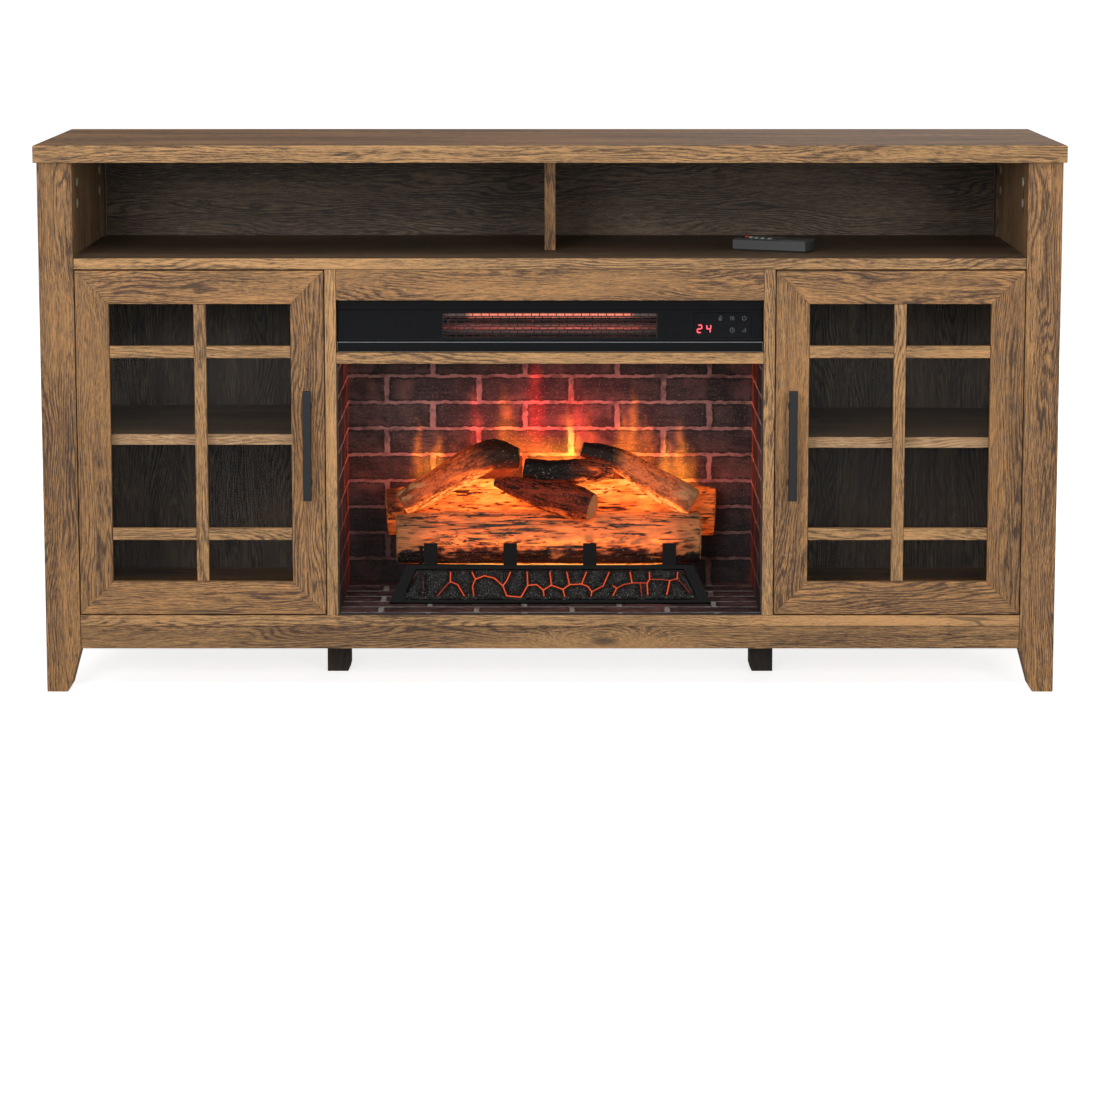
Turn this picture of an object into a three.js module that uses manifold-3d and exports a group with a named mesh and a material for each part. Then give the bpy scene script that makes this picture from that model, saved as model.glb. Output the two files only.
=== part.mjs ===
// A farmhouse television stand with an electric fireplace in its middle bay.
// The carcass is wood-grain board on four tapered corner legs and two centre feet.
// Two framed glass doors swing on concealed cup hinges. A quartz heater sits over a
// brick-lined firebox with a grate, coals and logs, and a remote control lies on the open shelf.
// Units are millimetres, +Z is up and the doors face -Y. The origin is on the floor,
// under the middle of the whole object with its door handles.

import * as THREE from 'three';
import { mergeVertices } from 'three/addons/utils/BufferGeometryUtils.js';
import Module from 'manifold-3d';

const wasm = await Module();
wasm.setup();

// Driving dimensions. A setback is measured from the front edge of the top board.

const stand = { width: 1480, depth: 400, height: 800 };
const panel = 16; // thickness of every carcass board
const seat = 0.3; // gap between two pieces that touch
const overrun = 5; // how far a cutter runs past what it cuts

const top = { thickness: 25, sideOverhang: 4, frontOverhang: 10, edge: 1.5 };
const leg = { width: 50, depth: 40, footWidth: 35, taperHeight: 63, tipWidth: 30, tipHeight: 8 };
const wallInset = 4; // side panels, behind the inner faces of the legs
const boardSetback = 11;
const mediaBay = { height: 138, dividerSetback: 130 };
const bottomRail = { height: 34, setback: 13, floorGap: 64 };
const backPanel = { thickness: 3, inset: 15 }; // inset from the top board's back edge
const vent = { rows: 5, columns: 2, width: 110, height: 5, pitch: 12, columnPitch: 150 };
const leadHole = { radius: 20, sides: 24, height: 60 };
const centreFoot = { width: 35, depth: 35, setback: 150, chamfer: 4, chamferHeight: 9 };
const cabinetShelf = { gap: 1, leftHeight: 245.5, rightHeight: 241 };
const shelfPin = { radius: 2.5, reach: 8, fromEdge: 40, sides: 10 };

const door = { thickness: 18, sideGap: 1.5, endGap: 2, frameWidth: 48 };
const mitre = { width: 0.8, depth: 0.6 };
const pane = { thickness: 3, rebateWidth: 6, rebateDepth: 8, smallLight: 61 };
const muntin = { width: 17.5, setback: 1 };
const handle = { length: 160, width: 12, depth: 9, reach: 29, corner: 2.5, spacing: 112 };
const handlePost = { radius: 4.5, sides: 14 };
const cup = { radius: 17, wall: 1.4, depth: 11, edge: 5, sides: 20 };
const cupFlange = { length: 52, width: 20, thickness: 1.2 };
const cupTab = { length: 6, thickness: 5 };
const hingeEnd = 80; // from the end of the door to the middle of a hinge
const hingeArm = { height: 15, length: 58, thickness: 9, wall: 1.5, frontGap: 3 };
const hingePlate = { height: 48, length: 30, thickness: 2.5, setback: 20 };

const fireplace = { width: 618 };
const header = { height: 45 };
const heaterBay = { height: 76 };
const fascia = { setback: 20, sideGap: 1, wall: 3, lip: 14.7, ledge: 8, ledgeRise: 1.8 };
const brow = { height: 16, depth: 2 };
const grille = { width: 311, rows: 7, rowPitch: 5.07, slat: 1.5, thickness: 3, above: 4 };
const grilleRib = { width: 1.4, pitch: 12.1, inset: 6.7, stagger: 4.2 };
const display = { width: 82.5, thickness: 1.6, fromEnd: 18 };
const heaterCase = { wall: 2, depth: 200, sideGap: 6, topGap: 4, frontGap: 1 };
const caseSlot = { count: 8, width: 40, height: 6, pitch: 60 };
const cheek = { spread: 182, thickness: 4, width: 40 };
const quartz = { radius: 5, capRadius: 8, capLength: 16, sides: 14, setback: 46, below: 23.5 };
const blower = { radius: 24, length: 330, blades: 14, bladeThickness: 1.4, bladeWidth: 9, tiltDegrees: 30 };
const blowerDisc = { thickness: 3, sides: 22 };
const blowerShaft = { radius: 3.5, sides: 12, setback: 130 };

const firebox = { depth: 260, liner: 2, setback: 2 };
const emberFrame = { bottomWidth: 476, topWidth: 427, height: 49, depth: 40, setback: 80, thickness: 4 };
const emberWindow = { topBar: 7, bottomBar: 4, sideBar: 17, corner: 14 };
const coals = { columns: 12, rise: 9, crack: 2.5, behind: 3, gridAcross: 48, gridUp: 8 };
const grate = { width: 440, front: 84, back: 250, plate: 3 };
const finger = { setback: 122, thickness: 8, width: 20, height: 83, pitch: 118.5, chamfer: 3, count: 4 };
const cradle = { spread: 190, thickness: 5, front: 136, back: 246, height: 84 };
const rotor = { radius: 14, shaft: 3, vanes: 3, vaneThickness: 1.2, setback: 208, height: 33, sides: 12 };
const rotorEnd = 4; // gap between the vanes and the cradles
const ledBoard = { length: 340, width: 12, thickness: 1.6, setback: 142 };
const led = { count: 7, radius: 3, height: 3.5, sides: 8 };
const logSpace = { width: 500, setback: 118, depth: 150, height: 230, thickness: 80 };
const bark = { sides: 14, rings: 15 };

const remote = { length: 120, width: 45, height: 18, bow: 3, edge: 2.5, turnDegrees: -24 };
const remotePlace = { x: 330, setback: 130 };
const remotePanel = { depth: 0.5, groove: 1 };
const key = { length: 10, width: 5.6, proud: 1.6, depth: 4, travel: 1, clearance: 0.4 };

// Heights, worked down from the top board and up from the floor

const zTopUnder = stand.height - top.thickness;
const zMediaShelf = zTopUnder - mediaBay.height;
const zDoorwayTop = zMediaShelf - panel;
const zRailBottom = bottomRail.floorGap;
const zBottomUnder = zRailBottom + bottomRail.height;
const zBottomBoard = zBottomUnder + panel;
const zHeaterTop = zDoorwayTop - header.height;
const zHeaterShelf = zHeaterTop - heaterBay.height;
const zFireboxTop = zHeaterShelf - panel;
const zHearth = zBottomBoard + seat + firebox.liner;

// Places across the stand, as distances from its middle

const legOuter = stand.width / 2 - top.sideOverhang;
const legInner = legOuter - leg.width;
const wallInner = legInner + wallInset;
const uprightInner = fireplace.width / 2;
const uprightOuter = uprightInner + panel;

// Places from front to back. The handles stand out further than the top board.

const handleProud = handle.reach - top.frontOverhang;
const yFront = (handleProud - stand.depth) / 2;
const yBack = yFront + stand.depth;
const yLeg = yFront + top.frontOverhang;
const yLegBack = yLeg + leg.depth;
const yBackLeg = yBack - leg.depth;
const yBoards = yFront + boardSetback;
const yDoor = yLeg;
const yBackPanel = yBack - backPanel.inset;
const yBoardsEnd = yBackPanel - seat;
const yFireboxBack = yFront + firebox.depth;

// Materials

const paint = (color, roughness, metalness = 0) =>
  new THREE.MeshStandardMaterial({ color, roughness, metalness });

const finish = {
  oak: paint(0x8d6740, 0.62),
  darkOak: paint(0x2a2118, 0.7),
  blackMetal: paint(0x232427, 0.45, 0.6),
  steel: paint(0xb9bcc0, 0.35, 0.9),
  blackPlastic: paint(0x15161a, 0.3),
  castIron: paint(0x17181a, 0.7, 0.3),
  brick: paint(0x4b3133, 0.85),
  litBark: paint(0xc07148, 0.85),
  tanBark: paint(0x9a7a5a, 0.85),
  char: paint(0x2b201b, 0.9),
  ember: paint(0xff7a28, 0.8),
  quartz: paint(0xff7a5a, 0.2),
  board: paint(0x1f5a3c, 0.5),
  glass: new THREE.MeshStandardMaterial({
    color: 0x3a3d40, roughness: 0.05, transparent: true, opacity: 0.35,
  }),
  remoteShell: paint(0x4a4b48, 0.5),
  greyRubber: paint(0x9aa09b, 0.7),
  redRubber: paint(0xd9301f, 0.6),
};

// Helpers

// The two sides of the stand: the sign of x, and the word in the names.
const sides = [[-1, 'left'], [1, 'right']];

function piece(name, geometry, material, x = 0, y = 0, z = 0) {
  const mesh = new THREE.Mesh(geometry, material);
  mesh.name = name;
  mesh.position.set(x, y, z);
  return mesh;
}

// A block that fills the space between two opposite corners.
function block(low, high) {
  const size = high.map((end, axis) => Math.abs(end - low[axis]));
  const middle = high.map((end, axis) => (end + low[axis]) / 2);
  return new THREE.BoxGeometry(...size).translate(...middle);
}

// A closed geometry as a solid that can be cut and joined, and back again.
function solid(geometry) {
  const bare = geometry.clone();
  for (const name of Object.keys(bare.attributes)) {
    if (name !== 'position') bare.deleteAttribute(name);
  }
  const merged = mergeVertices(bare, 1e-3);
  return new wasm.Manifold(new wasm.Mesh({
    numProp: 3,
    vertProperties: merged.attributes.position.array,
    triVerts: new Uint32Array(merged.index.array),
  }));
}

function geometryOf(shape) {
  const mesh = shape.getMesh();
  const geometry = new THREE.BufferGeometry();
  geometry.setAttribute('position', new THREE.BufferAttribute(mesh.vertProperties, 3));
  geometry.setIndex(new THREE.BufferAttribute(mesh.triVerts, 1));
  geometry.computeVertexNormals();
  return geometry;
}

function join(...geometries) {
  const [first, ...others] = geometries.map(solid);
  return geometryOf(others.reduce((whole, other) => whole.add(other), first));
}

function cut(geometry, ...cutters) {
  return geometryOf(cutters.map(solid).reduce((left, cutter) => left.subtract(cutter), solid(geometry)));
}

function polygon(points) {
  return new THREE.Shape(points.map(([x, y]) => new THREE.Vector2(x, y)));
}

function extrude(shape, depth) {
  return new THREE.ExtrudeGeometry(shape, { depth, bevelEnabled: false, curveSegments: 4 });
}

// An outline of [x, z] points, carried back along Y.
function alongY(points, from, to) {
  return extrude(polygon(points), to - from).rotateX(Math.PI / 2).translate(0, to, 0);
}

// An outline of [y, z] points, carried along X.
function alongX(points, from, to) {
  const turn = new THREE.Matrix4().makeBasis(
    new THREE.Vector3(0, 1, 0), new THREE.Vector3(0, 0, 1), new THREE.Vector3(1, 0, 0));
  return extrude(polygon(points), to - from).applyMatrix4(turn).translate(from, 0, 0);
}

function cylinderX(radius, length, segments) {
  return new THREE.CylinderGeometry(radius, radius, length, segments).rotateZ(Math.PI / 2);
}

function cylinderY(radius, length, segments) {
  return new THREE.CylinderGeometry(radius, radius, length, segments);
}

// Places of a centred row of copies.
function row(count, pitch) {
  return Array.from({ length: count }, (_, index) => (index - (count - 1) / 2) * pitch);
}

function roundedRectangle(width, height, corner) {
  const shape = new THREE.Shape();
  const right = width / 2 - corner;
  const up = height / 2 - corner;
  shape.absarc(right, up, corner, 0, Math.PI / 2);
  shape.absarc(-right, up, corner, Math.PI / 2, Math.PI);
  shape.absarc(-right, -up, corner, Math.PI, Math.PI * 1.5);
  shape.absarc(right, -up, corner, Math.PI * 1.5, Math.PI * 2);
  shape.closePath();
  return shape;
}

// Carcass

// The top board, with a small chamfer round its upper edge.
function topPanel() {
  const half = stand.width / 2;
  const inset = half - top.edge;
  const layer = (x, y0, y1) => [[-x, y0], [x, y0], [x, y1], [-x, y1]];
  const low = layer(half, yFront, yBack);
  const high = layer(inset, yFront + top.edge, yBack - top.edge);
  const rings = [[low, zTopUnder], [low, stand.height - top.edge], [high, stand.height]];
  const positions = rings.flatMap(([ring, z]) => ring.flatMap(([x, y]) => [x, y, z]));
  const faces = [0, 2, 1, 0, 3, 2, 8, 9, 10, 8, 10, 11];
  for (const start of [0, 4]) {
    for (let corner = 0; corner < 4; corner += 1) {
      const a = start + corner;
      const b = start + (corner + 1) % 4;
      faces.push(a, b, b + 4, a, b + 4, a + 4);
    }
  }
  const geometry = new THREE.BufferGeometry();
  geometry.setAttribute('position', new THREE.Float32BufferAttribute(positions, 3));
  geometry.setIndex(faces);
  return piece('top_panel', geometryOf(solid(geometry)), finish.oak);
}

// A leg is straight outside and tapers on its inner side, down to a narrow foot.
function legPieces() {
  const rows = [['front', yLeg], ['back', yBackLeg]];
  return sides.flatMap(([side, sideName]) => rows.map(([rowName, y]) => {
    const outline = [
      [legOuter, 0],
      [legOuter - leg.tipWidth, 0],
      [legOuter - leg.footWidth, leg.tipHeight],
      [legInner, leg.taperHeight],
      [legInner, zTopUnder - seat],
      [legOuter, zTopUnder - seat],
    ].map(([x, z]) => [side * x, z]);
    return piece(`${rowName}_${sideName}_leg`, alongY(outline, y, y + leg.depth), finish.oak);
  }));
}

function shelfHeight(sideName) {
  return zBottomBoard + (sideName === 'left' ? cabinetShelf.leftHeight : cabinetShelf.rightHeight);
}

const yShelfFront = yLegBack + cabinetShelf.gap;
const yShelfBack = yBackLeg - cabinetShelf.gap;

// The two pins that carry one end of a cabinet shelf stand out of the board beside it.
function shelfPins(x, z) {
  return [yShelfFront + shelfPin.fromEdge, yShelfBack - shelfPin.fromEdge].map((y) =>
    cylinderX(shelfPin.radius, 2 * shelfPin.reach, shelfPin.sides)
      .translate(x, y, z - seat - shelfPin.radius));
}

function sidePanels() {
  return sides.map(([side, sideName]) => {
    const wall = block(
      [side * wallInner, yLegBack + seat, zRailBottom],
      [side * (wallInner + panel), yBackLeg - seat, zTopUnder - seat],
    );
    const pins = shelfPins(side * wallInner, shelfHeight(sideName));
    return piece(`${sideName}_side_panel`, join(wall, ...pins), finish.oak);
  });
}

// A full-width board whose corners are notched round the four legs.
function notchedBoard(name, z) {
  const narrow = legInner - seat;
  const wide = wallInner - seat;
  const notchFront = yLegBack + seat;
  const notchBack = yBackLeg - seat;
  const half = [
    [narrow, yBoards], [narrow, notchFront], [wide, notchFront],
    [wide, notchBack], [narrow, notchBack], [narrow, yBoardsEnd],
  ];
  const mirrored = half.map(([x, y]) => [-x, y]).reverse();
  return piece(name, extrude(polygon([...half, ...mirrored]), panel), finish.oak, 0, 0, z);
}

function mediaDivider() {
  return piece('media_divider', block(
    [-panel / 2, yFront + mediaBay.dividerSetback, zMediaShelf + seat],
    [panel / 2, yBoardsEnd, zTopUnder - seat],
  ), finish.oak);
}

function frontRail() {
  const y = yFront + bottomRail.setback;
  return piece('bottom_front_rail', block(
    [-legInner + seat, y, zRailBottom],
    [legInner - seat, y + panel, zBottomUnder - seat],
  ), finish.oak);
}

// A centre foot stands under an upright and is chamfered at its inner lower edge.
function centreFeet() {
  const y = yFront + centreFoot.setback;
  const middle = uprightInner + panel / 2;
  const inner = middle - centreFoot.width / 2;
  const outer = middle + centreFoot.width / 2;
  return sides.map(([side, sideName]) => {
    const outline = [
      [outer, 0],
      [inner + centreFoot.chamfer, 0],
      [inner, centreFoot.chamferHeight],
      [inner, zBottomUnder - seat],
      [outer, zBottomUnder - seat],
    ].map(([x, z]) => [side * x, z]);
    return piece(`${sideName}_centre_foot`, alongY(outline, y, y + centreFoot.depth), finish.darkOak);
  });
}

function uprights() {
  return sides.map(([side, sideName]) => {
    const board = block(
      [side * uprightInner, yBoards, zBottomBoard + seat],
      [side * uprightOuter, yBoardsEnd, zDoorwayTop - seat],
    );
    const pins = shelfPins(side * uprightOuter, shelfHeight(sideName));
    return piece(`${sideName}_upright`, join(board, ...pins), finish.oak);
  });
}

function cabinetShelves() {
  return sides.map(([side, sideName]) => piece(`${sideName}_cabinet_shelf`, block(
    [side * (uprightOuter + seat), yShelfFront, shelfHeight(sideName)],
    [side * (wallInner - seat), yShelfBack, shelfHeight(sideName) + panel],
  ), finish.oak));
}

// The thin back is in two sheets that meet behind the open shelf. The lower one has
// slots behind the heater and one hole low down for the fireplace's lead.
function backPanels() {
  const half = legInner - seat;
  const joint = zMediaShelf - panel / 2;
  const sheet = (low, high) => block(
    [-half, yBackPanel, low],
    [half, yBackPanel + backPanel.thickness, high],
  );
  const slots = row(vent.rows, vent.pitch).flatMap((up) => row(vent.columns, vent.columnPitch).map((x) => {
    const z = (zHeaterShelf + zHeaterTop) / 2 + up;
    return block(
      [x - vent.width / 2, yBackPanel - overrun, z - vent.height / 2],
      [x + vent.width / 2, yBackPanel + backPanel.thickness + overrun, z + vent.height / 2],
    );
  }));
  const hole = cylinderY(leadHole.radius, backPanel.thickness + 2 * overrun, leadHole.sides)
    .translate(0, yBackPanel + backPanel.thickness / 2, zBottomBoard + leadHole.height);
  const lower = cut(sheet(zBottomUnder, joint - seat), ...slots, hole);
  return [
    piece('upper_back_panel', sheet(joint, zTopUnder - seat), finish.oak),
    piece('lower_back_panel', lower, finish.oak),
  ];
}

function headerRail() {
  return piece('header_rail', block(
    [-uprightInner + seat, yBoards, zHeaterTop],
    [uprightInner - seat, yBoards + panel, zDoorwayTop - seat],
  ), finish.oak);
}

function heaterShelf() {
  return piece('heater_shelf', block(
    [-uprightInner + seat, yBoards, zFireboxTop],
    [uprightInner - seat, yFireboxBack, zHeaterShelf],
  ), finish.oak);
}

// Doors

const doorOuter = legInner - door.sideGap;
const doorInner = uprightOuter + door.sideGap;
const doorLow = zBottomBoard + door.endGap;
const doorHigh = zDoorwayTop - door.endGap;
const windowOuter = doorOuter - door.frameWidth;
const windowInner = doorInner + door.frameWidth;
const windowLow = doorLow + door.frameWidth;
const windowHigh = doorHigh - door.frameWidth;
const yDoorBack = yDoor + door.thickness;
const yRebate = yDoorBack - pane.rebateDepth;
const cupMiddle = doorOuter - cup.edge - cup.radius;
const hingeHeights = [['lower', doorLow + hingeEnd], ['upper', doorHigh - hingeEnd]];
const channelHeight = hingeArm.height - 2 * hingeArm.wall;
const tabHeight = channelHeight - 2 * seat;

// A fine groove along the mitre between the window's corner and the door's corner.
function mitreGroove(side, x0, x1, z0, z1) {
  const length = Math.hypot(x1 - x0, z1 - z0) + 2 * mitre.width;
  const angle = Math.atan2(z1 - z0, side * (x1 - x0));
  return new THREE.BoxGeometry(length, 2 * mitre.depth, mitre.width)
    .rotateY(-angle)
    .translate(side * (x0 + x1) / 2, yDoor, (z0 + z1) / 2);
}

// The mitred frame: a window through it, a rebate behind for the glass, and two
// bores for the hinge cups.
function doorFrame(side, sideName) {
  const body = block([side * doorOuter, yDoor, doorLow], [side * doorInner, yDoorBack, doorHigh]);
  const window = block(
    [side * windowOuter, yDoor - overrun, windowLow],
    [side * windowInner, yDoorBack + overrun, windowHigh],
  );
  const rebate = block(
    [side * (windowOuter + pane.rebateWidth), yRebate, windowLow - pane.rebateWidth],
    [side * (windowInner - pane.rebateWidth), yDoorBack + overrun, windowHigh + pane.rebateWidth],
  );
  const boreLength = cup.depth + seat + overrun;
  const bores = hingeHeights.map(([, z]) => cylinderY(cup.radius + seat, boreLength, cup.sides)
    .translate(side * cupMiddle, yDoorBack + overrun - boreLength / 2, z));
  const grooves = [
    [windowOuter, doorOuter, windowLow, doorLow], [windowOuter, doorOuter, windowHigh, doorHigh],
    [windowInner, doorInner, windowLow, doorLow], [windowInner, doorInner, windowHigh, doorHigh],
  ].map((corner) => mitreGroove(side, ...corner));
  return piece(`${sideName}_door_frame`, cut(body, window, rebate, ...bores, ...grooves), finish.oak);
}

function doorGlass(side, sideName) {
  const lap = pane.rebateWidth - seat;
  return piece(`${sideName}_door_glass`, block(
    [side * (windowOuter + lap), yRebate + seat, windowLow - lap],
    [side * (windowInner - lap), yRebate + seat + pane.thickness, windowHigh + lap],
  ), finish.glass);
}

// One upright and two cross bars make a single lattice in front of the glass.
function doorMuntins(side, sideName) {
  const middle = (windowOuter + windowInner) / 2;
  const bar = (x0, x1, z0, z1) => block(
    [side * x0, yDoor + muntin.setback, z0],
    [side * x1, yRebate, z1],
  );
  const upright = bar(
    middle - muntin.width / 2, middle + muntin.width / 2, windowLow + seat, windowHigh - seat);
  const crosses = [windowLow + pane.smallLight, windowHigh - pane.smallLight - muntin.width]
    .map((z) => bar(windowInner + seat, windowOuter - seat, z, z + muntin.width));
  return piece(`${sideName}_door_muntins`, join(upright, ...crosses), finish.oak);
}

// A flat bar with rounded edges on two round posts.
function doorHandle(side, sideName) {
  const x = side * (doorInner + door.frameWidth / 2);
  const z = (doorLow + doorHigh) / 2;
  const bar = extrude(roundedRectangle(handle.width, handle.depth, handle.corner), handle.length)
    .translate(x, yDoor - handle.reach + handle.depth / 2, z - handle.length / 2);
  const postLength = handle.reach - handle.depth / 2 - seat;
  const posts = row(2, handle.spacing).map((up) =>
    cylinderY(handlePost.radius, postLength, handlePost.sides)
      .translate(x, yDoor - seat - postLength / 2, z + up));
  return piece(`${sideName}_door_handle`, join(bar, ...posts), finish.blackMetal);
}

const yCupFace = yDoorBack + seat;
const yCupFloor = yCupFace - cup.depth + cup.wall;

// The pressed cup sits in the door's bore. It has a flange on the door's back, and a
// tab on its floor that nests in the hinge arm when the door is shut.
function hingeCup(side, sideName, heightName, z) {
  const x = side * cupMiddle;
  const well = cylinderY(cup.radius, cup.depth, cup.sides).translate(x, yCupFace - cup.depth / 2, z);
  const flange = block(
    [x - cupFlange.width / 2, yCupFace, z - cupFlange.length / 2],
    [x + cupFlange.width / 2, yCupFace + cupFlange.thickness, z + cupFlange.length / 2],
  );
  const hollowLength = cup.depth + overrun;
  const hollow = cylinderY(cup.radius - cup.wall, hollowLength, cup.sides)
    .translate(x, yCupFloor + hollowLength / 2, z);
  const tab = block(
    [x - cupTab.thickness / 2, yCupFloor - cup.wall / 2, z - tabHeight / 2],
    [x + cupTab.thickness / 2, yCupFace + cupFlange.thickness + cupTab.length, z + tabHeight / 2],
  );
  const shape = join(cut(join(well, flange), hollow), tab);
  return piece(`${sideName}_door_${heightName}_hinge_cup`, shape, finish.steel);
}

// The arm is a plate on the side panel and a cranked channel that reaches to the cup.
function hingeArmPiece(side, sideName, heightName, z) {
  const yStart = yCupFace + cupFlange.thickness + hingeArm.frontGap;
  const wall = wallInner - seat;
  const root = wall - hingePlate.thickness;
  const reach = cupMiddle - hingeArm.thickness / 2;
  const outline = [
    [reach, yStart],
    [reach + hingeArm.thickness, yStart],
    [root, yStart + hingePlate.setback],
    [root, yStart + hingeArm.length],
    [root - hingeArm.thickness, yStart + hingeArm.length],
    [root - hingeArm.thickness, yStart + hingePlate.setback],
    [reach, yStart + hingeArm.thickness],
  ].map(([x, y]) => [side * x, y]);
  const arm = extrude(polygon(outline), hingeArm.height).translate(0, 0, z - hingeArm.height / 2);
  const plate = block(
    [side * root, yStart + hingePlate.setback, z - hingePlate.height / 2],
    [side * wall, yStart + hingePlate.setback + hingePlate.length, z + hingePlate.height / 2],
  );
  const channel = block(
    [side * (reach - overrun), yStart - overrun, z - channelHeight / 2],
    [side * (root - hingeArm.wall), yStart + hingeArm.thickness, z + channelHeight / 2],
  );
  return piece(`${sideName}_${heightName}_hinge_arm`, cut(join(arm, plate), channel), finish.steel);
}

function doorPieces() {
  return sides.flatMap(([side, sideName]) => [
    doorFrame(side, sideName),
    doorGlass(side, sideName),
    doorMuntins(side, sideName),
    doorHandle(side, sideName),
    ...hingeHeights.flatMap(([heightName, z]) => [
      hingeCup(side, sideName, heightName, z),
      hingeArmPiece(side, sideName, heightName, z),
    ]),
  ]);
}

// Heater

const yFascia = yFront + fascia.setback;
const yFasciaPanel = yFascia + fascia.ledge;
const yFasciaBack = yFasciaPanel + fascia.wall;
const zLip = zHeaterShelf + fascia.lip;
const zLedge = zLip + fascia.ledgeRise;
const grilleHeight = grille.rows * grille.rowPitch;
const zGrille = zLedge + grille.above;
const xDisplay = uprightInner - display.fromEnd - display.width;

// The moulded front: a lip below with a sloping ledge, a set-back panel with the
// grille's opening and a pocket for the display, and a brow above.
function heaterFascia() {
  const half = uprightInner - fascia.sideGap;
  const low = zHeaterShelf + seat;
  const high = zHeaterTop - seat;
  const body = alongX([
    [yFascia, low],
    [yFasciaBack, low],
    [yFasciaBack, high],
    [yFasciaPanel - brow.depth, high],
    [yFasciaPanel - brow.depth, high - brow.height + brow.depth],
    [yFasciaPanel, high - brow.height],
    [yFasciaPanel, zLedge],
    [yFascia, zLip],
  ], -half, half);
  const opening = block(
    [-grille.width / 2 - seat, yFascia - overrun, zGrille - seat],
    [grille.width / 2 + seat, yFasciaBack + overrun, zGrille + grilleHeight + seat],
  );
  const pocket = block(
    [xDisplay - seat, yFascia - overrun, zGrille - seat],
    [xDisplay + display.width + seat, yFasciaPanel + display.thickness, zGrille + grilleHeight + seat],
  );
  return piece('heater_fascia', cut(body, opening, pocket), finish.blackPlastic);
}

// The slots of one grille row as [start, end] pairs from the grille's left edge. Every
// second row is shifted, like brickwork.
function grilleSlots(rowIndex) {
  const first = grilleRib.inset + (rowIndex % 2) * grilleRib.stagger;
  const slots = [];
  let start = grilleRib.width;
  for (let rib = first; start < grille.width - grilleRib.pitch / 2; rib += grilleRib.pitch) {
    slots.push([start, Math.min(rib, grille.width - grilleRib.width)]);
    start = rib + grilleRib.width;
  }
  return slots;
}

function heaterGrille() {
  const plate = block([0, 0, 0], [grille.width, grille.thickness, grilleHeight]);
  const slots = [];
  for (let index = 0; index < grille.rows; index += 1) {
    const z1 = grilleHeight - index * grille.rowPitch - grille.slat / 2;
    const z0 = z1 - grille.rowPitch + grille.slat;
    for (const [x0, x1] of grilleSlots(index)) {
      slots.push(block([x0, -overrun, z0], [x1, grille.thickness + overrun, z1]));
    }
  }
  return piece('heater_grille', cut(plate, ...slots), finish.blackMetal, -grille.width / 2, yFasciaPanel, zGrille);
}

function displayWindow() {
  return piece('display_window', block(
    [xDisplay, yFasciaPanel - seat, zGrille],
    [xDisplay + display.width, yFasciaPanel + display.thickness - seat, zGrille + grilleHeight],
  ), finish.blackPlastic);
}

const yCase = yFasciaBack + heaterCase.frontGap;
const yBlower = yFront + blowerShaft.setback;
const zBlower = (zHeaterShelf + zHeaterTop) / 2;

// The sheet-metal case is open in front and slotted behind. Two cheeks inside it carry
// the quartz tube and the blower's shaft.
function heaterCasePiece() {
  const half = uprightInner - heaterCase.sideGap;
  const low = zHeaterShelf + seat;
  const high = zHeaterTop - heaterCase.topGap;
  const yEnd = yCase + heaterCase.depth;
  const outer = block([-half, yCase, low], [half, yEnd, high]);
  const inner = block(
    [-half + heaterCase.wall, yCase - overrun, low + heaterCase.wall],
    [half - heaterCase.wall, yEnd - heaterCase.wall, high - heaterCase.wall],
  );
  const slots = row(caseSlot.count, caseSlot.pitch).map((x) => block(
    [x - caseSlot.width / 2, yEnd - heaterCase.wall - overrun, zBlower - caseSlot.height / 2],
    [x + caseSlot.width / 2, yEnd + overrun, zBlower + caseSlot.height / 2],
  ));
  const cheeks = sides.map(([side]) => block(
    [side * cheek.spread, yCase, low],
    [side * (cheek.spread + cheek.thickness), yBlower + cheek.width / 2, high],
  ));
  const shaftHole = cylinderX(
    blowerShaft.radius + seat, 2 * (cheek.spread + cheek.thickness + overrun), blowerShaft.sides)
    .translate(0, yBlower, zBlower);
  const shell = join(cut(outer, inner, ...slots), ...cheeks);
  return piece('heater_case', cut(shell, shaftHole), finish.steel);
}

// A quartz tube with a ceramic cap on each end, held between the case's cheeks.
function quartzTube() {
  const half = cheek.spread - seat;
  const capEnd = half - quartz.capLength;
  const profile = [
    [0, -half], [quartz.capRadius, -half], [quartz.capRadius, -capEnd], [quartz.radius, -capEnd],
    [quartz.radius, capEnd], [quartz.capRadius, capEnd], [quartz.capRadius, half], [0, half],
  ].map(([x, y]) => new THREE.Vector2(x, y));
  const geometry = new THREE.LatheGeometry(profile, quartz.sides).rotateZ(Math.PI / 2);
  return piece('quartz_tube', geometry, finish.quartz, 0, yFront + quartz.setback, zHeaterTop - quartz.below);
}

// A cross-flow wheel: a ring of tilted blades between two discs, on one shaft.
function blowerWheel() {
  const shaft = cylinderX(blowerShaft.radius, 2 * cheek.spread + cheek.thickness, blowerShaft.sides);
  const bladeLength = blower.length - blowerDisc.thickness;
  const discs = sides.map(([side]) => cylinderX(blower.radius, blowerDisc.thickness, blowerDisc.sides)
    .translate(side * bladeLength / 2, 0, 0));
  const blades = Array.from({ length: blower.blades }, (_, index) =>
    new THREE.BoxGeometry(bladeLength, blower.bladeThickness, blower.bladeWidth)
      .rotateX(THREE.MathUtils.degToRad(blower.tiltDegrees))
      .translate(0, 0, blower.radius - blower.bladeWidth / 2 - blower.bladeThickness)
      .rotateX(index / blower.blades * Math.PI * 2));
  return piece('blower_wheel', join(shaft, ...discs, ...blades), finish.blackPlastic, 0, yBlower, zBlower);
}

// Firebox

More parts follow.
